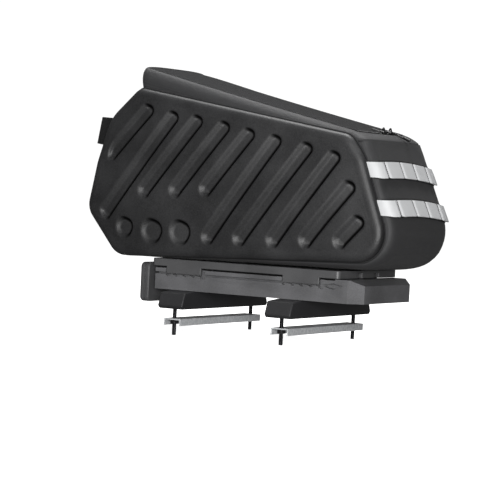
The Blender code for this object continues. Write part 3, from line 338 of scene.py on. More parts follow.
def threaded_rod(low, high):
    """A closed rod with a helical thread between two end points on one vertical line."""
    bm = bmesh.new()
    steps = int(round((high.z - low.z) / THREAD_PITCH * 4))
    rings = []
    for step in range(steps + 1):
        ring = []
        for side in range(THREAD_SIDES):
            share = side / THREAD_SIDES
            phase = (step / 4 + share) % 1.0
            crest = abs(phase - 0.5) * 2
            radius = BOLT_RADIUS - THREAD_DEPTH * (1.0 - crest)
            height = low.z + step * (high.z - low.z) / steps
            radius -= max(0.0, BOLT_TIP - (height - low.z))
            turn = 2 * math.pi * share
            ring.append(bm.verts.new((low.x + radius * math.cos(turn),
                                      low.y + radius * math.sin(turn), height)))
        rings.append(ring)
    for lower, upper in zip(rings, rings[1:]):
        for side in range(THREAD_SIDES):
            following = (side + 1) % THREAD_SIDES
            bm.faces.new((lower[side], lower[following], upper[following], upper[side]))
    bm.faces.new(list(reversed(rings[0])))
    bm.faces.new(rings[-1])
    return as_mesh(bm, "rod")


NUT_ROUND = 0.0005
PIN_ROUND = 0.0004
for end in ("front", "rear"):
    for hand in ("left", "right"):
        node = f"{end}_clamp_bolt_{hand}"
        low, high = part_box(node)
        centre = (low + high) / 2
        rod = threaded_rod(Vector((centre.x, centre.y, low.z)), Vector((centre.x, centre.y, high.z)))
        bolt = link_piece(f"{end}_bolt_{hand}", rod, BLACK_STEEL)
        carry(bolt, "mount", "dark_steel", node)
        nut = edged_copy(f"{end}_nut_{hand}", f"{end}_clamp_nut_{hand}", BLACK_STEEL, NUT_ROUND)
        carry(nut, f"{end}_clamp", "dark_steel", f"{end}_clamp_nut_{hand}")
pin = edged_copy("pivot_pin", "catch_pin", BLACK_STEEL, PIN_ROUND)
carry(pin, "mount", "dark_steel", "catch_pin")

# Side shells. Sheets of foam with a dark skin, hot-pressed into rounded dishes with soft grooves,
# and sewn to the gusset along their edges. Each is one whole side of the bag.
SHELL_FRONT = -0.3660
SHELL_FOOT = 0.0360
SHELL_LENGTH = 0.4080
SHELL_HEIGHT = 0.1970
SHELL_DEPTH = 0.0110
SHELL_WALL = 0.0050
SEAM_HALF_WIDTH = 0.0680
SEAM_INSET = 0.0030
GAP = 0.0003
# Outline corners: along and up as shares of the shell's length and height, radius as a share of
# its height
SHELL_CORNERS = [
    (0.164, 1.000, 0.076), (0.069, 0.817, 0.250), (0.028, 0.553, 0.300), (0.000, 0.268, 0.120),
    (0.108, 0.000, 0.120), (1.000, 0.063, 0.168), (0.897, 0.645, 0.200), (0.853, 0.767, 0.100)]
# Grooves: low_along, low_up, high_along, high_up
SHELL_GROOVES = [
    (0.086, 0.609, 0.201, 0.863), (0.072, 0.252, 0.286, 0.826), (0.206, 0.396, 0.367, 0.807),
    (0.311, 0.406, 0.457, 0.777), (0.412, 0.421, 0.539, 0.742), (0.424, 0.145, 0.625, 0.710),
    (0.527, 0.147, 0.724, 0.674), (0.635, 0.152, 0.811, 0.632), (0.738, 0.162, 0.861, 0.468),
    (0.844, 0.170, 0.893, 0.276)]
# Round pressings: along, up, radius
SHELL_DIMPLES = [(0.142, 0.173, 0.0119), (0.237, 0.160, 0.0140), (0.332, 0.162, 0.0140)]
GROOVE_RADIUS = 0.0090
GROOVE_DEPTH = 0.0062
FLOOR_SLOPE = 0.62
CREASE_WIDTH = 0.0066
CREASE_EDGE = 0.0022
STEEP_WALL = 0.0032
SOFT_WALL = 0.0080
SOFT_REACH = 0.25
STEEP_WAY = Vector((0.93, 0.37))
# How far round to the steep side, from -1 to 1, the wall and the crease begin, and over how much
WALL_FROM, WALL_SPAN = -0.35, 1.1
CREASE_FROM, CREASE_SPAN = -0.45, 0.7
# Rounded edge from the seam outwards: inset from the outline and depth outside the seam
SHELL_EDGE = [(0.00297, 0.0), (0.00033, 0.00242), (0.0, 0.0055), (0.00176, 0.00858),
              (0.00605, 0.01056), (0.01188, 0.0110)]
EDGE_STEPS = 4
OUTLINE_ARC_STEPS = 24
HALF_RING = 340
FACE_RINGS = 84
# Face rings over which a pressing fades out where it comes near the rounded edge
RIM_FADE = 5
SPINE_FRONT = (0.27, 0.52)
SPINE_REAR = (0.70, 0.36)
SPINE_FROM = 0.2
SPINE_SPAN = 0.6
FACE_DOME = 0.0030
DOME_POWER = 2.2


def shell_point(along, up_share):
    """Place in the X-Z plane from shares of the shell's length and height."""
    return Vector((SHELL_FRONT + along * SHELL_LENGTH, SHELL_FOOT + up_share * SHELL_HEIGHT))


def rounded_path(corners, closed, arc_steps):
    """Points of an outline whose corners are (along, up, radius) rows."""
    points = [shell_point(along, up_share) for along, up_share, _ in corners]
    path = []
    for index, (_, _, share) in enumerate(corners):
        point = points[index]
        radius = share * SHELL_HEIGHT
        if not closed and index in (0, len(corners) - 1):
            path.append(point)
            continue
        before = (points[index - 1] - point).normalized()
        after = (points[(index + 1) % len(points)] - point).normalized()
        half_angle = before.angle(after) / 2
        start = point + before * radius / math.tan(half_angle)
        finish = point + after * radius / math.tan(half_angle)
        centre = point + (before + after).normalized() * radius / math.sin(half_angle)
        for step in range(arc_steps + 1):
            spoke = (start - centre).lerp(finish - centre, step / arc_steps)
            path.append(centre + spoke.normalized() * radius if radius > 0 else point.copy())
    return path


def left_normals(path, closed):
    """Unit normals to the left of a plane path's direction."""
    normals = []
    count = len(path)
    for index in range(count):
        ahead = path[(index + 1) % count] if closed or index < count - 1 else path[index]
        behind = path[index - 1] if closed or index > 0 else path[index]
        way = (ahead - behind).normalized() if (ahead - behind).length > 1e-9 else Vector((1.0, 0.0))
        normals.append(Vector((-way.y, way.x)))
    return normals


def resampled(path, count):
    """The same open path in equal steps."""
    lengths = [0.0]
    for first, second in zip(path, path[1:]):
        lengths.append(lengths[-1] + (second - first).length)
    result, at = [], 0
    for step in range(count + 1):
        target = lengths[-1] * step / count
        while at < len(path) - 2 and lengths[at + 1] < target:
            at += 1
        span = lengths[at + 1] - lengths[at]
        result.append(path[at].lerp(path[at + 1], (target - lengths[at]) / span if span else 0.0))
    return result


def curve_through(points, steps):
    """Smooth open curve through points of any dimension."""
    result = []
    for index in range(len(points) - 1):
        before = points[max(index - 1, 0)]
        start, finish = points[index], points[index + 1]
        after = points[min(index + 2, len(points) - 1)]
        for step in range(steps):
            t = step / steps
            result.append(0.5 * (2 * start + (finish - before) * t
                                 + (2 * before - 5 * start + 4 * finish - after) * t * t
                                 + (3 * start - before - 3 * finish + after) * t ** 3))
    result.append(points[-1].copy())
    return result


def smooth_step(value):
    """0 below nought, 1 above one and a soft rise between."""
    value = min(max(value, 0.0), 1.0)
    return value * value * (3 - 2 * value)


outline = rounded_path(SHELL_CORNERS, True, OUTLINE_ARC_STEPS)
front_split = min(range(len(outline)), key=lambda index: outline[index].x)
rear_split = max(range(len(outline)), key=lambda index: outline[index].x)
under = resampled(outline[front_split:rear_split + 1], HALF_RING)
over = resampled(outline[rear_split:] + outline[:front_split + 1], HALF_RING)
shell_ring = under[:-1] + over[:-1]
ring_normals = left_normals(shell_ring, True)
spine_front, spine_rear = shell_point(*SPINE_FRONT), shell_point(*SPINE_REAR)
spine = []
for index in range(2 * HALF_RING):
    share = index / HALF_RING if index <= HALF_RING else 2 - index / HALF_RING
    spine.append(spine_front.lerp(spine_rear, min(max((share - SPINE_FROM) / SPINE_SPAN, 0.0), 1.0)))
groove_lines = [(shell_point(a, b), shell_point(c, d), GROOVE_RADIUS) for a, b, c, d in SHELL_GROOVES]
groove_lines += [(shell_point(a, b), shell_point(a, b), radius) for a, b, radius in SHELL_DIMPLES]


def pressed(place):
    """How deep the pressing is at a place on the shell's face, and how far it lies in the tight
    crease along the pressing's steep side. The floor slopes down towards that side."""
    deepest, crease = 0.0, 0.0
    for low_end, high_end, radius in groove_lines:
        line = high_end - low_end
        share = 0.0
        if line.length > 0:
            share = min(max((place - low_end).dot(line) / line.length_squared, 0.0), 1.0)
        away = place - (low_end + line * share)
        way = away.normalized().dot(STEEP_WAY) if away.length else 0.0
        facing = smooth_step((way - WALL_FROM) / WALL_SPAN)
        wall = SOFT_WALL + (STEEP_WALL - SOFT_WALL) * facing
        edge = radius * (1.0 + SOFT_REACH * (1.0 - facing)) - away.length
        if edge <= 0.0:
            continue
        tilt = 1.0 - FLOOR_SLOPE * (1.0 - away.dot(STEEP_WAY) / radius) / 2
        deepest = max(deepest, GROOVE_DEPTH * max(tilt, 0.0) * smooth_step(edge / wall))
        inside = smooth_step(edge / CREASE_EDGE) * smooth_step((CREASE_WIDTH - edge) / CREASE_EDGE)
        crease = max(crease, inside * smooth_step((way - CREASE_FROM) / CREASE_SPAN))
    return deepest, crease


# EVA foam pressed with a knitted polyester skin: matt, near black, with a fine even grain.
# The skin's grain is drawn at 1.0 mm, over twice the real one, so that it shows. In the tight crease along
# each pressing's steep side, which the "crease" attribute marks, painted shade darkens the skin to near
# black, lowers its specular level and roughens it.
SHELL_SKIN = moulded("pressed_foam_skin", "#151516", "#303031", 0.50, 0.0010, 0.00020)
skin_tree = SHELL_SKIN.node_tree
skin_shader = skin_tree.nodes["Principled BSDF"]
crease_shade_mask = add_node(skin_tree, "Attribute", attribute_name="crease")
skin_colour = skin_shader.inputs["Base Color"].links[0].from_socket
# Painted shade: the colour in the crease is mixed towards near black.
crease_shade_colour = add_node(skin_tree, "Mix", {7: linear("#060606")},
                     {0: crease_shade_mask.outputs["Fac"], 6: skin_colour}, data_type="RGBA")
skin_tree.links.new(crease_shade_colour.outputs[2], skin_shader.inputs["Base Color"])
skin_gloss = skin_shader.inputs["Roughness"].links[0].from_socket
dulled = add_node(skin_tree, "Mix", {3: 0.95}, {0: crease_shade_mask.outputs["Fac"], 2: skin_gloss})
skin_tree.links.new(dulled.outputs[0], skin_shader.inputs["Roughness"])
# Painted shade: the specular level drops in the crease, so that it reads darker.
crease_shade_specular = add_node(skin_tree, "Mix", {2: 0.5, 3: 0.03}, {0: crease_shade_mask.outputs["Fac"]})
skin_tree.links.new(crease_shade_specular.outputs[0], skin_shader.inputs["Specular IOR Level"])


def build_shell(name, side):
    """One pressed shell: an edge of rings from the seam, and a face of rings to its spine."""
    bm = bmesh.new()
    crease_layer = bm.verts.layers.float.new("crease")
    rings = []
    face_y = SEAM_HALF_WIDTH + GAP

    def add_ring(points, depths, creases=None):
        ring = [bm.verts.new((p.x, side * (face_y + d), p.y)) for p, d in zip(points, depths)]
        for vertex, amount in zip(ring, creases or []):
            vertex[crease_layer] = amount
        rings.append(ring)

    count = 2 * HALF_RING
    for inset, depth in ((SHELL_EDGE[-1][0], SHELL_DEPTH - SHELL_WALL),
                         (SHELL_WALL, (SHELL_DEPTH - SHELL_WALL) / 2), (SEAM_INSET + SHELL_WALL, 0.0)):
        add_ring([p + n * inset for p, n in zip(shell_ring, ring_normals)], [depth] * count)
    edge = curve_through([Vector(row) for row in SHELL_EDGE], EDGE_STEPS)
    for inset, depth in edge:
        add_ring([p + n * inset for p, n in zip(shell_ring, ring_normals)], [depth] * count)
    start = [p + n * SHELL_EDGE[-1][0] for p, n in zip(shell_ring, ring_normals)]
    for step in range(1, FACE_RINGS + 1):
        share = step / FACE_RINGS
        points = [p.lerp(s, share) for p, s in zip(start, spine)]
        dome = FACE_DOME * (1 - (1 - share) ** DOME_POWER)
        pressings = [pressed(p) for p in points]
        fade = smooth_step(step / RIM_FADE)
        add_ring(points, [SHELL_DEPTH + dome - deep * fade for deep, _ in pressings],
                 [amount for _, amount in pressings])
    for lower, upper in zip(rings, rings[1:]):
        for index in range(count):
            following = (index + 1) % count
            bm.faces.new((lower[index], lower[following], upper[following], upper[index]))
    bm.faces.new(rings[0])
    bmesh.ops.remove_doubles(bm, verts=[v for ring in rings[-2:] for v in ring], dist=1e-6)
    bmesh.ops.recalc_face_normals(bm, faces=bm.faces)
    mesh = as_mesh(bm, name)
    mesh.transform(Matrix.Translation(REAR_FOOT))
    return link_piece(name, mesh, SHELL_SKIN, 60.0)


carry(build_shell("left_shell", -1), "bag", "moulded_shell", "side_shell_left")
carry(build_shell("right_shell", 1), "bag", "moulded_shell", "side_shell_right")

# Gusset. One band of padded, coated polyester runs down the front, under the bag and up the rear,
# sewn between the two shells. Its padding presses it out from both seams.
FABRIC = 0.0020
MIDDLE_CORNERS = [
    (0.158, 1.000, 0.0), (0.056, 0.832, 0.250), (0.022, 0.558, 0.300), (-0.005, 0.268, 0.130),
    (0.100, 0.000, 0.140), (1.052, 0.014, 0.232), (0.938, 0.561, 0.050), (0.902, 0.737, 0.0)]
ARC_STEPS = 16
PATH_STEP = 0.0025
GUSSET_POWER = 5
GUSSET_COLUMNS = 72
GUSSET_DEPTH = 0.0220
PUCKER = 0.0005
PUCKER_LENGTH = 0.016
SLOW_WAVE = 0.05
# Shares of the half width over which the puckers rise towards the seam and die at its stitches
PUCKER_FROM = 0.55
PUCKER_SPAN = 0.3
PUCKER_END = 0.04
PUCKER_SHIFT = 3.0
EVEN_STEPS = 500
PADDING_PRESSURE = 4.0
PADDING_FRAMES = 20
GUSSET_CAP = 0.0012

# 900-denier polyester with a coated back: a dull, dark plain weave with a faint sheen.
# The threads are drawn 1.1 mm apart, twice the real spacing, so that the weave shows.
WEAVE = 0.0011
WAVE_PERIOD = math.pi / 10


def wave(tree, spot, spacing, way):
    """Threads this far apart in metres, as bands over a UV socket."""
    return add_node(tree, "TexWave", {"Scale": WAVE_PERIOD / spacing}, {"Vector": spot},
                    bands_direction=way).outputs["Fac"]


def woven(name, dark, light, slub, roughness, gloss):
    """Plain weave on the piece's own UV map in metres, with slubs that shade it in patches."""
    made, tree, shader = finish_of(name, dark, roughness, Specular_IOR_Level=gloss,
                                   Sheen_Weight=0.15 * gloss, Sheen_Roughness=0.4)
    spot = add_node(tree, "TexCoord").outputs["UV"]
    warp, weft = wave(tree, spot, WEAVE, "X"), wave(tree, spot, WEAVE, "Y")
    crossing = add_node(tree, "TexChecker", {"Scale": 2.0 / WEAVE}, {"Vector": spot})
    threads = add_node(tree, "Mix", {}, {
        0: crossing.outputs["Fac"], 2: warp, 3: weft})
    shade = add_node(tree, "Mix", {7: linear(slub)}, {
        0: cloudy(tree, spot, 60.0, 4.0), 6: tinted(tree, dark, light, threads.outputs[0])},
        data_type="RGBA")
    dress(tree, shader, shade.outputs[2], None, threads.outputs[0], 0.5, 0.00018)
    return made


CLOTH = woven("coated_polyester", "#272728", "#3d3d3e", "#303031", 0.55, 0.32)


def bulge(share):
    """How far the gusset stands out at a share of its half width."""
    return max(0.0, 1.0 - abs(share) ** GUSSET_POWER) ** (1.0 / GUSSET_POWER)


def paired_paths(first, second, step):
    """Two paths with as many points, both cut finer so that neither steps more than this."""
    fine_first, fine_second = [first[0]], [second[0]]
    for index in range(len(first) - 1):
        reach = max((first[index + 1] - first[index]).length, (second[index + 1] - second[index]).length)
        parts = max(1, math.ceil(reach / step))
        for part in range(1, parts + 1):
            fine_first.append(first[index].lerp(first[index + 1], part / parts))
            fine_second.append(second[index].lerp(second[index + 1], part / parts))
    return fine_first, fine_second


def padded_out(rows, stride, picks, cap, ring=False):
    """A grid as cloth held at its seams and pressed out by padding. The cloth is simulated on every
    few rows and on the picked columns, and no point moves much further than the cap."""
    row_ids = list(range(0, len(rows), stride))
    if not ring and row_ids[-1] != len(rows) - 1:
        row_ids.append(len(rows) - 1)
    count, across = len(row_ids), len(picks)
    points = [rows[i][j] for i in row_ids for j in picks]
    faces = []
    for i in range(count if ring else count - 1):
        a, b = i * across, (i + 1) % count * across
        faces += [(a + j, b + j, b + j + 1, a + j + 1) for j in range(across - 1)]
    mesh = bpy.data.meshes.new("padding")
    mesh.from_pydata(points, [], faces)
    trial = placed("padding", mesh)
    held = trial.vertex_groups.new(name="seams")
    edge = [i * across + j for i in range(count) for j in range(across)
            if j in (0, across - 1) or (not ring and i in (0, count - 1))]
    held.add(edge, 1.0, "REPLACE")
    cloth = trial.modifiers.new("cloth", "CLOTH")
    cloth.settings.vertex_group_mass = "seams"
    cloth.settings.use_pressure = True
    cloth.settings.uniform_pressure_force = PADDING_PRESSURE
    cloth.settings.effector_weights.gravity = 0.0
    cloth.point_cache.frame_end = PADDING_FRAMES
    for frame_number in range(1, PADDING_FRAMES + 1):
        bpy.context.scene.frame_set(frame_number)
    settled = trial.evaluated_get(bpy.context.evaluated_depsgraph_get()).data.vertices
    shifts = []
    for point, vertex in zip(points, settled):
        shift = vertex.co - point
        shifts.append(shift * cap / (cap + shift.length))
    bpy.context.scene.frame_set(1)
    bpy.data.objects.remove(trial)
    result = []
    for i, row in enumerate(rows):
        low = min(i // stride, count - 1)
        high = (low + 1) % count if ring else min(low + 1, count - 1)
        span = (row_ids[high] - row_ids[low]) if high > low else stride
        part = (i - row_ids[low]) / span
        moved, at = [], 0
        for j, point in enumerate(row):
            while at < across - 2 and picks[at + 1] <= j:
                at += 1
            side = (j - picks[at]) / (picks[at + 1] - picks[at])
            lower = shifts[low * across + at].lerp(shifts[low * across + at + 1], side)
            upper = shifts[high * across + at].lerp(shifts[high * across + at + 1], side)
            moved.append(point + lower.lerp(upper, part))
        result.append(moved)
    return result


def thick_sheet(name, rows, thickness, finish, ring=False, inner_rows=None):
    """Closed sheet under a grid of points, with a UV map in metres; ring joins its last row to
    its first. Its thickness goes against the grid's normals, or up to inner_rows."""
    row_count, column_count = len(rows), len(rows[0])

    def row_at(index):
        return rows[index % row_count] if ring else rows[min(max(index, 0), row_count - 1)]

    if inner_rows is None:
        inner_rows = []
        for i in range(row_count):
            inner = []
            for j in range(column_count):
                along = row_at(i + 1)[j] - row_at(i - 1)[j]
                across = rows[i][min(j + 1, column_count - 1)] - rows[i][max(j - 1, 0)]
                inner.append(rows[i][j] - along.cross(across).normalized() * thickness)
            inner_rows.append(inner)
    bm = bmesh.new()
    uv_layer = bm.loops.layers.uv.new("cloth")
    grids = [[[bm.verts.new(point) for point in row] for row in grid] for grid in (rows, inner_rows)]
    middle_column = column_count // 2
    run = [0.0]
    for i in range(1, row_count + 1):
        run.append(run[-1] + (row_at(i)[middle_column] - row_at(i - 1)[middle_column]).length)
    width = [0.0]
    for j in range(1, column_count):
        width.append(width[-1] + (rows[row_count // 2][j] - rows[row_count // 2][j - 1]).length)
    last = row_count if ring else row_count - 1
    for grid in grids:
        for i in range(last):
            for j in range(column_count - 1):
                face = bm.faces.new((grid[i][j], grid[i][j + 1], grid[(i + 1) % row_count][j + 1],
                                     grid[(i + 1) % row_count][j]))
                spots = ((i, j), (i, j + 1), (i + 1, j + 1), (i + 1, j))
                for loop, (a, b) in zip(face.loops, spots):
                    loop[uv_layer].uv = (run[a], width[b])
    outer, inner = grids
    for i in range(last):
        following = (i + 1) % row_count
        for j in (0, column_count - 1):
            bm.faces.new((outer[i][j], outer[following][j], inner[following][j], inner[i][j]))
    if not ring:
        for i in (0, row_count - 1):
            for j in range(column_count - 1):
                bm.faces.new((outer[i][j], outer[i][j + 1], inner[i][j + 1], inner[i][j]))
    bmesh.ops.recalc_face_normals(bm, faces=bm.faces)
    mesh = as_mesh(bm, name)
    mesh.transform(Matrix.Translation(REAR_FOOT))
    return link_piece(name, mesh, finish, 50.0)


def even_columns(count):
    """Shares of the gusset's half width in even steps over its curve from seam to seam."""
    trail = []
    for step in range(-EVEN_STEPS, EVEN_STEPS + 1):
        turn = step / EVEN_STEPS * math.pi / 2
        share = math.copysign(abs(math.sin(turn)) ** (2 / GUSSET_POWER), turn)
        trail.append(Vector((share * SEAM_HALF_WIDTH, bulge(share) * GUSSET_DEPTH)))
    return [point.x / SEAM_HALF_WIDTH for point in resampled(trail, count)]


columns = even_columns(GUSSET_COLUMNS)
seam_outline = rounded_path(SHELL_CORNERS, True, ARC_STEPS)
seam_loop = [p + n * SEAM_INSET for p, n in zip(seam_outline, left_normals(seam_outline, True))]
corner_points = ARC_STEPS + 1
front_top = ARC_STEPS // 2
rear_top = (len(SHELL_CORNERS) - 1) * corner_points
coarse_seam = [seam_loop[front_top]] + seam_loop[corner_points:rear_top] + [seam_loop[rear_top]]
coarse_middle = rounded_path(MIDDLE_CORNERS, False, ARC_STEPS)
gusset_seam, gusset_middle = paired_paths(coarse_seam, coarse_middle, PATH_STEP)


def across_gusset(seam, middle_point, share):
    """Point of the gusset between a seam point and its middle point."""
    place = seam.lerp(middle_point, bulge(share))
    return Vector((place.x, share * SEAM_HALF_WIDTH, place.y))


middle_normals = left_normals(gusset_middle, False)
gusset_rows = []
for seam, centre_point, normal in zip(gusset_seam, gusset_middle, middle_normals):
    row = []
    for share in columns:
        point = across_gusset(seam, centre_point, share)
        near_seam = smooth_step((abs(share) - PUCKER_FROM) / PUCKER_SPAN)
        near_seam *= smooth_step((1.0 - abs(share)) / PUCKER_END)
        slow = noise.noise(point / SLOW_WAVE)
        wave_place = Vector((point.x, point.z, math.copysign(PUCKER_SHIFT, share)))
        quick_waves = noise.noise(wave_place / PUCKER_LENGTH)
        lift = PUCKER * (0.5 * slow + near_seam * quick_waves)
        row.append(point - Vector((normal.x, 0.0, normal.y)) * lift)
    gusset_rows.append(row)
gusset_rows = padded_out(gusset_rows, 3, list(range(0, GUSSET_COLUMNS + 1, 3)), GUSSET_CAP)
gusset = thick_sheet("gusset_cloth", gusset_rows, FABRIC, CLOTH)
carry(gusset, "bag", "bag_fabric", "gusset")

# Collar. A wall of the same polyester, tall at the front and shallow at the rear, sewn to the tops
# of the shells and the gusset. Its padded top edge rolls over towards the zip.
ZIP_FRONT = shell_point(0.159, 1.127)
ZIP_REAR_CORNER = shell_point(0.838, 0.798)
ZIP_REAR_MIDDLE = shell_point(0.866, 0.785)
ZIP_HALF_WIDTH = 0.0640
COLLAR_LEVELS = 10
ROLL_LEVELS = 7
ROLL_IN = 0.0024
ROLL_SIDE = 0.0140
ROLL_FRONT = 0.0080
ROLL_SHARE = 0.7
COLLAR_SWELL = 0.0030
COLLAR_CAP = 0.0010
TOP_BOW = -0.0010
FRONT_BOW = 0.0020
SIDE_COLUMNS = 110
FRONT_COLUMNS = 57
CORNER_SMOOTHING = 4

side_front = [seam_loop[index] for index in range(front_top, -1, -1)]
side_rear = [seam_loop[index] for index in range(len(seam_loop) - 1, rear_top - 1, -1)]
collar_side = resampled(side_front + side_rear, SIDE_COLUMNS)
collar_low, collar_high, collar_roll = [], [], []
lift = Vector((0.0, GAP))


def top_bow(share):
    """How far the collar's top edge bows off its straight slope at a share of its length."""
    return TOP_BOW * math.sin(math.pi * min(max(share, 0.0), 1.0))


def collar_top(point):
    """Place on the collar's sloping top edge over a point of its lower one."""
    share = (point.x - collar_side[0].x) / (collar_side[-1].x - collar_side[0].x)
    return ZIP_FRONT.lerp(ZIP_REAR_CORNER, share) + Vector((0.0, top_bow(share)))


def smoothed(ring, times):
    """A ring of points or numbers, each drawn this many times towards its neighbours."""
    for _ in range(times):
        ring = [(ring[index - 1] + 2 * value + ring[(index + 1) % len(ring)]) / 4
                for index, value in enumerate(ring)]
    return ring


inner_columns = columns[1:-1]
for point in collar_side:
    top = collar_top(point)
    collar_low.append(Vector((point.x, -SEAM_HALF_WIDTH, point.y + GAP)))
    collar_high.append(Vector((top.x, -ZIP_HALF_WIDTH, top.y)))
    collar_roll.append(ROLL_SIDE)
for share in inner_columns:
    collar_low.append(across_gusset(collar_side[-1] + lift, gusset_middle[-1] + lift, share))
    place = ZIP_REAR_CORNER.lerp(ZIP_REAR_MIDDLE, bulge(share))
    collar_high.append(Vector((place.x, share * ZIP_HALF_WIDTH, place.y)))
    collar_roll.append(ROLL_FRONT)
for point in reversed(collar_side):
    top = collar_top(point)
    collar_low.append(Vector((point.x, SEAM_HALF_WIDTH, point.y + GAP)))
    collar_high.append(Vector((top.x, ZIP_HALF_WIDTH, top.y)))
    collar_roll.append(ROLL_SIDE)
for step in range(1, FRONT_COLUMNS):
    share = 1.0 - 2.0 * step / FRONT_COLUMNS
    collar_low.append(across_gusset(collar_side[0] + lift, gusset_middle[0] + lift, share))
    rise = FRONT_BOW * (1.0 - share ** 4)
    collar_high.append(Vector((ZIP_FRONT.x, share * ZIP_HALF_WIDTH, ZIP_FRONT.y + rise)))
    collar_roll.append(ROLL_FRONT)
collar_high = smoothed(collar_high, CORNER_SMOOTHING)
collar_roll = smoothed(collar_roll, CORNER_SMOOTHING)
plan = left_normals([Vector((point.x, point.y)) for point in collar_high], True)
collar_rows = []
for low_point, high_point, normal, roll in zip(collar_low, collar_high, plan, collar_roll):
    outward = -Vector((normal.x, normal.y, 0.0))
    height = high_point.z - low_point.z
    roll = min(roll, ROLL_SHARE * height)
    waist = low_point.lerp(high_point, 1.0 - roll / height)
    row = []
    for step in range(COLLAR_LEVELS):
        share = step / COLLAR_LEVELS
        swell = COLLAR_SWELL * math.sin(math.pi / 2 * share)
        row.append(low_point.lerp(waist, share) + outward * swell)
    for step in range(ROLL_LEVELS + 1):
        turn = math.pi / 2 * step / ROLL_LEVELS
        place = waist.lerp(high_point, math.sin(turn))
        row.append(place + outward * (COLLAR_SWELL - (ROLL_IN + COLLAR_SWELL) * (1.0 - math.cos(turn))))
    collar_rows.append(row)
collar_picks = list(range(0, COLLAR_LEVELS + ROLL_LEVELS + 1, 2)) + [COLLAR_LEVELS + ROLL_LEVELS]
collar_rows = padded_out(collar_rows, 2, collar_picks, COLLAR_CAP, ring=True)
collar = thick_sheet("collar_cloth", collar_rows, FABRIC, CLOTH, ring=True)
carry(collar, "bag", "bag_fabric", "upper_collar")

# Lid. A padded panel of the collar's polyester, less glossy and in darker colours that are painted shade on
# the bag's top, sewn down at its front edge and zipped on the other three.
# The padding lifts it in a crown that is highest behind the front edge.
LID_THICKNESS = 0.0030
LID_ROWS = 60
LID_CAP = 0.0015
LID_POWER = 2.4
CROWN_STEPS = 12
ZIP_WIDTH = 0.0060
ZIP_THICKNESS = 0.0016
ZIP_SLOPE = (ZIP_REAR_CORNER.y - ZIP_FRONT.y) / (ZIP_REAR_CORNER.x - ZIP_FRONT.x)
# Crown of the lid's middle at even steps from its front edge to its rear one
LID_CROWN = [0.0, 0.0024, 0.0026, 0.0016, 0.0008, 0.0004, 0.0004, 0.0004, 0.0]


def zip_line(inset):
    """Path in from the collar's edge: left front, round the rear and right front."""
    half = ZIP_HALF_WIDTH - inset
    set_back = FABRIC + GAP
    ends = [Vector((ZIP_FRONT.x + set_back, side * half, ZIP_FRONT.y + ZIP_SLOPE * set_back))
            for side in (-1, 1)]
    rear = []
    for share in columns:
        edge_point = ZIP_REAR_CORNER.lerp(ZIP_REAR_MIDDLE, bulge(share))
        rear.append(Vector((edge_point.x - inset, share * half, edge_point.y - ZIP_SLOPE * inset)))
    return [ends[0]] + rear + [ends[1]]


def bow_at(point):
    """How far the collar's bow moves what is sewn to its top edge at this point."""
    return top_bow((point.x - ZIP_FRONT.x) / (ZIP_REAR_CORNER.x - ZIP_FRONT.x))


# The same weave with less gloss than the collar's, in darker colours that paint the shade on the bag's top.
SHADE_DARKENED_LID_CLOTH = woven("dull_polyester_painted_shade", "#161617", "#262627", "#1c1c1d", 0.70, 0.12)
crown_line = curve_through([Vector((height, 0.0)) for height in LID_CROWN], CROWN_STEPS)
lid_line = zip_line(FABRIC + ZIP_WIDTH + 2 * GAP)
lid_rows = []
for step in range(LID_ROWS + 1):
    share = step / LID_ROWS
    crown_here = crown_line[round(share * (len(crown_line) - 1))].x
    row = []
    for column, end in zip(columns, lid_line[1:-1]):
        start = Vector((lid_line[0].x, end.y, lid_line[0].z))
        point = start.lerp(end, share)
        front_rise = FRONT_BOW * (1.0 - column ** 4) * (1.0 - share) ** 3
        point.z += bow_at(point) + front_rise + crown_here * (1.0 - abs(column) ** LID_POWER)
        row.append(point)
    lid_rows.append(row)
lid_rows = padded_out(lid_rows, 2, list(range(0, GUSSET_COLUMNS + 1, 3)), LID_CAP)
lid = thick_sheet("lid_cloth", lid_rows, LID_THICKNESS, SHADE_DARKENED_LID_CLOTH)
carry(lid, "bag", "bag_fabric", "lid")

# Zip. A nylon coil zip on woven tapes round three sides of the lid, with two sliders at the rear.
# Each slider is a cast body; one pull is a short tab and the other a cord with a moulded knob.
ZIP_TAPE = moulded("zip_tape_polyester", "#121213", "#1b1b1c", 0.75, 0.0009, 0.00012)
ZIP_COIL = moulded("zip_coil_nylon", "#0f0f10", "#171718", 0.36, 0.0009, 0.00005)


def geometry_tree(name, **inputs):
    """A geometry node tree with a mesh going in and out and these named inputs."""
    tree = bpy.data.node_groups.new(name, "GeometryNodeTree")
    tree.interface.new_socket("Geometry", in_out="INPUT", socket_type="NodeSocketGeometry")
    for label, kind in inputs.items():
        tree.interface.new_socket(label, in_out="INPUT", socket_type=kind)
    tree.interface.new_socket("Geometry", in_out="OUTPUT", socket_type="NodeSocketGeometry")
    return tree, tree.nodes.new("NodeGroupInput").outputs


def end_tree(tree, solid, finish):
    """Realise what a geometry tree makes, give it its material and send it out."""
    real = add_node(tree, "RealizeInstances", {}, {"Geometry": solid})
    dressed = add_node(tree, "SetMaterial", {}, {"Geometry": real.outputs[0], "Material": finish})
    tree.links.new(dressed.outputs[0], tree.nodes.new("NodeGroupOutput").inputs[0])


# A round cord along a path
CORD_TREE, cord_in = geometry_tree("cord_on_path", Radius="NodeSocketFloat", Finish="NodeSocketMaterial")
cord_curve = add_node(CORD_TREE, "MeshToCurve", {}, {"Mesh": cord_in["Geometry"]})
cord_section = add_node(CORD_TREE, "CurvePrimitiveCircle", {"Resolution": 8}, {"Radius": cord_in["Radius"]})
cord_solid = add_node(CORD_TREE, "CurveToMesh", {"Fill Caps": True}, {
    "Curve": cord_curve.outputs[0], "Profile Curve": cord_section.outputs[0]})
end_tree(CORD_TREE, cord_solid.outputs[0], cord_in["Finish"])

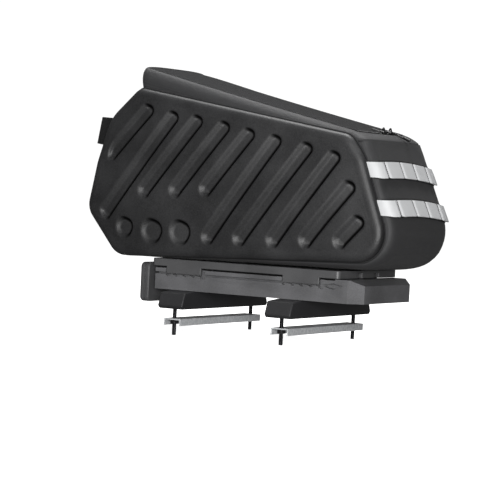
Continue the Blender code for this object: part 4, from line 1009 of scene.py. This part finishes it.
# Small rounded bars at even steps along paths: stitches along the way, or zip teeth across it
BAR_TREE, bar_in = geometry_tree("bars_on_path", Pitch="NodeSocketFloat", Size="NodeSocketVector",
                                 Finish="NodeSocketMaterial")
bar_curve = add_node(BAR_TREE, "MeshToCurve", {}, {"Mesh": bar_in["Geometry"]})
bar_turned = add_node(BAR_TREE, "SetCurveNormal", {}, {"Curve": bar_curve.outputs[0]}, mode="Z_UP")
bar_places = add_node(BAR_TREE, "CurveToPoints", {}, {
    "Curve": bar_turned.outputs[0], "Length": bar_in["Pitch"]}, mode="LENGTH")
bar_ball = add_node(BAR_TREE, "MeshUVSphere", {"Segments": 8, "Rings": 5, "Radius": 0.5})
bar_shape = add_node(BAR_TREE, "Transform", {}, {
    "Geometry": bar_ball.outputs[0], "Scale": bar_in["Size"]})
bar_set = add_node(BAR_TREE, "InstanceOnPoints", {}, {
    "Points": bar_places.outputs["Points"], "Instance": bar_shape.outputs[0],
    "Rotation": bar_places.outputs["Rotation"]})
end_tree(BAR_TREE, bar_set.outputs[0], bar_in["Finish"])


def grown(name, paths, closed, tree, **values):
    """A plain mesh that a geometry tree grows along paths of points."""
    points, edges = [], []
    for path in paths:
        first = len(points)
        points += [point + REAR_FOOT for point in path]
        edges += [(first + k, first + k + 1) for k in range(len(path) - 1)]
        if closed:
            edges.append((first + len(path) - 1, first))
    mesh = bpy.data.meshes.new(name)
    mesh.from_pydata(points, edges, [])
    made = placed(name, mesh)
    modifier = made.modifiers.new(name, "NODES")
    modifier.node_group = tree
    for socket in tree.interface.items_tree:
        if socket.in_out == "INPUT" and socket.name in values:
            modifier[socket.identifier] = values[socket.name]
    apply_all(made)
    made.data.shade_smooth()
    return made


TOOTH_PITCH = 0.0014
TAPE_SINK = 0.0008
TAPE_STEP = 0.004
COIL_STEP = 0.002
SLIDER_ROUND = 0.0006
PULL_ROUND = 0.0004
TOOTH_SIZE = (0.0036, 0.0013, 0.0010)
zip_outer, zip_inner = zip_line(FABRIC + GAP), zip_line(FABRIC + GAP + ZIP_WIDTH)
fine_outer, fine_inner = paired_paths(zip_outer, zip_inner, TAPE_STEP)
tape_rows = []
for a, b in zip(fine_outer, fine_inner):
    rise = Vector((0.0, 0.0, bow_at(a) - TAPE_SINK))
    tape_rows.append([a.lerp(b, share / 4) + rise for share in range(5)])
down = Vector((0.0, 0.0, -ZIP_THICKNESS))
tape_under = [[point + down for point in row] for row in tape_rows]
tape = thick_sheet("zip_tapes", tape_rows, ZIP_THICKNESS, ZIP_TAPE, inner_rows=tape_under)
carry(tape, "bag", "zip_plastic", "zip_tape")
coil_middle = zip_line(FABRIC + GAP + ZIP_WIDTH / 2)
coil_line = [point + Vector((0.0, 0.0, bow_at(point)))
             for point in paired_paths(coil_middle, coil_middle, COIL_STEP)[0]]
teeth = grown("zip_teeth", [coil_line], False, BAR_TREE, Pitch=TOOTH_PITCH, Size=TOOTH_SIZE,
              Finish=ZIP_COIL)
carry(teeth, "bag", "zip_plastic")
for hand in ("left", "right"):
    for part, round_edge in (("slider", SLIDER_ROUND), ("pull", PULL_ROUND)):
        made = edged_copy(f"{part}_{hand}", f"zip_{part}_{hand}", ZIP_COIL, round_edge)
        carry(made, "bag", "zip_plastic", f"zip_{part}_{hand}")
# Over each slider stands a cast bail that the pull hooks into; the long pull ends in a knob
BAIL_RADIUS = 0.0009
BAIL_REACH = 0.0032
BAIL_HEIGHT = 0.0066
BAIL_STEPS = 12
KNOB_RADIUS = 0.0016
KNOB_LENGTH = 0.0090
PULL_FALL = math.radians(24.0)
bails = []
for hand in ("left", "right"):
    low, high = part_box(f"zip_slider_{hand}")
    foot_of_bail = Vector(((low.x + high.x) / 2, (low.y + high.y) / 2, low.z)) - REAR_FOOT
    arch = [math.pi * step / BAIL_STEPS for step in range(BAIL_STEPS + 1)]
    bails.append([foot_of_bail + Vector((0.0, BAIL_REACH * math.cos(turn), BAIL_HEIGHT * math.sin(turn)))
                  for turn in arch])
carry(grown("slider_bails", bails, False, CORD_TREE, Radius=BAIL_RADIUS, Finish=ZIP_COIL),
      "bag", "zip_plastic")
low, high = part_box("zip_pull_right")
knob_end = Vector((high.x, (low.y + high.y) / 2, low.z + KNOB_RADIUS)) - REAR_FOOT
knob_way = Vector((math.cos(PULL_FALL), 0.0, -math.sin(PULL_FALL)))
knob_path = [knob_end - knob_way * KNOB_LENGTH, knob_end]
carry(grown("pull_knob", [knob_path], False, CORD_TREE, Radius=KNOB_RADIUS, Finish=ZIP_COIL),
      "bag", "zip_plastic")

# Seam cords. A black cord lies in the seams between the shells, the gusset and the collar as painted shade:
# it stands for the deep, shaded groove of each seam and shows as a thin dark line in it.
# Painted shade: a near-black cord material for the shade in the seam grooves.
SEAM_SHADE = moulded("seam_painted_shade", "#0e0e0f", "#161617", 0.8, 0.0009, 0.0001)
SEAM_SHADE_RADIUS = 0.0017
SEAM_SHADE_OUT = 0.0008
# Inset from the shell's outline under the bag, and over the height at which it has come out
SEAM_SHADE_INSET_LOW = 0.0018
SEAM_SHADE_INSET_HIGH = -0.0006
SEAM_SHADE_RISE = 0.0140
seam_shade_paths = []
for side in (-1, 1):
    path = []
    for p, normal in list(zip(shell_ring, ring_normals))[::3]:
        up_share = smooth_step((p.y - SHELL_FOOT) / SEAM_SHADE_RISE)
        place = p + normal * (SEAM_SHADE_INSET_LOW + (SEAM_SHADE_INSET_HIGH - SEAM_SHADE_INSET_LOW) * up_share)
        path.append(Vector((place.x, side * (SEAM_HALF_WIDTH + SEAM_SHADE_OUT), place.y)))
    seam_shade_paths.append(path)
seam_shade_cords = grown("seam_painted_shades", seam_shade_paths, True, CORD_TREE, Radius=SEAM_SHADE_RADIUS, Finish=SEAM_SHADE)
carry(seam_shade_cords, "bag", "bag_fabric")
# A thinner cord of the same near-black painted shade closes the seams between the collar and the gusset, at
# the rear and the front
CORD_RADIUS = 0.0010
cord_paths = []
for seam_point, middle_point in ((collar_side[-1], gusset_middle[-1]), (collar_side[0], gusset_middle[0])):
    cord_paths.append([across_gusset(seam_point + lift / 2, middle_point + lift / 2, share)
                       for share in columns])
cords = grown("collar_seam_cords", cord_paths, False, CORD_TREE, Radius=CORD_RADIUS, Finish=SEAM_SHADE)
carry(cords, "bag", "bag_fabric")

# Webbings on the rear. Two lengths of silver-grey reflective tape, each stitched down into five
# pouched segments on a wider black webbing, so that a clip can be hung between the stitches.
WEBBING = 0.0014
SEWN_GAP = 0.0009
REFLECTIVE_HEIGHT = 0.0168
BACKING_HEIGHT = 0.0205
REFLECTIVE_ARCH = 0.0035
WEBBING_FALL = 0.0024
POUCH_DEPTH = 0.0018
POUCH_SOFTNESS = 0.0036
POUCH_GAPE = 0.5
POUCH_SAG = 0.9
POUCH_LINES = [-1.0, -0.80, -0.27, 0.195, 0.64, 1.0]
WEBBING_LEVELS = 12
WEBBING_COLUMNS = 120
UPPER_WEBBING_ABOVE_FOOT = 0.1030
LOWER_WEBBING_ABOVE_FOOT = 0.0615
PICK_SPACING = 1.25


def ribbed(name, colour, light, rib, depth, roughness):
    """Woven tape: ribs across its length, on the piece's own UV map in metres."""
    made, tree, shader = finish_of(name, colour, roughness)
    spot = add_node(tree, "TexCoord").outputs["UV"]
    ribs, picks = wave(tree, spot, rib, "X"), wave(tree, spot, rib * PICK_SPACING, "Y")
    relief = add_node(tree, "Math", {}, {0: ribs, 1: picks}, operation="MULTIPLY")
    dress(tree, shader, tinted(tree, colour, light, relief.outputs[0]), None, relief.outputs[0], 0.6, depth)
    return made


# Polypropylene webbing: black and dull, with ribs drawn 1.3 mm apart so that they show.
BLACK_TAPE = ribbed("black_webbing", "#151516", "#232324", 0.0013, 0.0003, 0.72)
# Reflective tape: glass beads on silver-grey cloth, which read as an even, slightly bright grey.
SILVER_TAPE = ribbed("reflective_tape", "#bcbdbe", "#d2d3d4", 0.0010, 0.00012, 0.42)
# Waxed polyester thread, black.
THREAD = moulded("waxed_thread", "#0e0e0f", "#171718", 0.55, 0.0006, 0.00005)


def x_at_height(path, height, rearmost):
    """Place along the bag where a side-view path crosses a height."""
    found = []
    for first, second in zip(path, path[1:]):
        if min(first.y, second.y) <= height <= max(first.y, second.y) and first.y != second.y:
            found.append(first.x + (second.x - first.x) * (height - first.y) / (second.y - first.y))
    return max(found) if rearmost else min(found)


def gusset_profile(share):
    """Side-view path of the gusset at a share of its half width."""
    return [seam.lerp(centre_point, bulge(share)) for seam, centre_point in zip(gusset_seam, gusset_middle)]


webbing_shares = even_columns(WEBBING_COLUMNS)
webbing_profiles = [gusset_profile(share) for share in webbing_shares]


def webbing_grid(low, height, stand_off, pouch):
    """Grid of a webbing that wraps the rear from seam to seam; it arches up and falls to the right.
    Its pouches gape a little at their lower edges."""
    upward = Vector((0.0, 0.0, 1.0))
    rows = []
    bases = []
    for share, profile in zip(webbing_shares, webbing_profiles):
        shift = REFLECTIVE_ARCH * (1.0 - share ** 2) - WEBBING_FALL * share
        heights = [low + shift + height * step / WEBBING_LEVELS for step in range(WEBBING_LEVELS + 1)]
        bases.append([Vector((x_at_height(profile, z, True), share * SEAM_HALF_WIDTH, z)) for z in heights])
    middle_level = WEBBING_LEVELS // 2
    flat = [Vector((row[middle_level].x, row[middle_level].y)) for row in bases]
    for share, row, normal in zip(webbing_shares, bases, left_normals(flat, False)):
        nearest = min(abs(share - line) for line in POUCH_LINES) * SEAM_HALF_WIDTH
        swell = pouch * smooth_step(nearest / POUCH_SOFTNESS)
        outward = Vector((-normal.x, -normal.y, 0.0))
        row_out = []
        for step, point in enumerate(row):
            gape = POUCH_GAPE * swell * (1.0 - step / WEBBING_LEVELS)
            row_out.append(point + outward * (stand_off + swell + gape) - POUCH_SAG * gape * upward)
        rows.append(row_out)
    return rows


stitch_paths = []
for level_name, above in (("upper", UPPER_WEBBING_ABOVE_FOOT), ("lower", LOWER_WEBBING_ABOVE_FOOT)):
    foot = SHELL_FOOT + above
    margin = (BACKING_HEIGHT - REFLECTIVE_HEIGHT) / 2
    backing = thick_sheet(f"{level_name}_black_tape",
                          webbing_grid(foot - margin, BACKING_HEIGHT, SEWN_GAP + WEBBING, 0.0),
                          WEBBING, BLACK_TAPE)
    carry(backing, "bag", "black_webbing", f"{level_name}_backing_webbing")
    silver_rows = webbing_grid(foot, REFLECTIVE_HEIGHT, SEWN_GAP + 2 * WEBBING + GAP, POUCH_DEPTH)
    silver = thick_sheet(f"{level_name}_silver_tape", silver_rows, WEBBING, SILVER_TAPE)
    carry(silver, "bag", "reflective_webbing", f"{level_name}_reflective_webbing")
    for line in POUCH_LINES[1:-1]:
        nearest = min(range(len(webbing_shares)), key=lambda index: abs(webbing_shares[index] - line))
        stitch_paths.append(silver_rows[nearest])

# Front loop. A length of black webbing, sewn to the front at both ends, that ties the bag
# forward and keeps it from swinging.
LOOP_ABOVE_FOOT = 0.1310
LOOP_HEIGHT = 0.0320
LOOP_REACH = 0.3875
LOOP_LEAN = 0.0055
LOOP_SEWN_DROP = 0.0040
LOOP_HALF_WIDTH = 0.0360
LOOP_STEPS = 6
LOOP_STATIONS = [(1.30, 0.0), (1.05, 0.0), (0.97, 0.30), (0.88, 0.75), (0.70, 0.97), (0.35, 1.0)]
stations = [Vector((-share, out)) for share, out in LOOP_STATIONS]
stations += [Vector((-station.x, station.y)) for station in reversed(stations)]
loop_rows = []
for share, out in curve_through(stations, LOOP_STEPS):
    row = []
    profile = gusset_profile(share * LOOP_HALF_WIDTH / SEAM_HALF_WIDTH)
    for step in range(WEBBING_LEVELS + 1):
        level_share = step / WEBBING_LEVELS
        height_here = SHELL_FOOT + LOOP_ABOVE_FOOT + LOOP_HEIGHT * level_share - LOOP_SEWN_DROP * (1 - out)
        sewn = x_at_height(profile, height_here, False) - SEWN_GAP
        front = -LOOP_REACH + LOOP_LEAN * (level_share - 0.5)
        row.append(Vector((sewn + (front - sewn) * out, share * LOOP_HALF_WIDTH, height_here)))
    loop_rows.append(row)
loop = thick_sheet("seat_post_loop", loop_rows, WEBBING, BLACK_TAPE)
carry(loop, "bag", "black_webbing", "front_loop")

# Stitching. Waxed thread holds the silver tapes down between their pouches and sews the loop's ends.
STITCH_PITCH = 0.0021
# The stitches are real black thread drawn wider than it is, so that between the silver tape's pouches their
# black also paints the shade in the folds.
STITCH_SIZE = (0.0014, 0.0014, 0.0021)
for row in (loop_rows[2], loop_rows[5], loop_rows[-3], loop_rows[-6]):
    stitch_paths.append(row)
stitches = grown("stitches", stitch_paths, False, BAR_TREE, Pitch=STITCH_PITCH, Size=STITCH_SIZE,
                 Finish=THREAD)
carry(stitches, "bag", "bag_fabric")
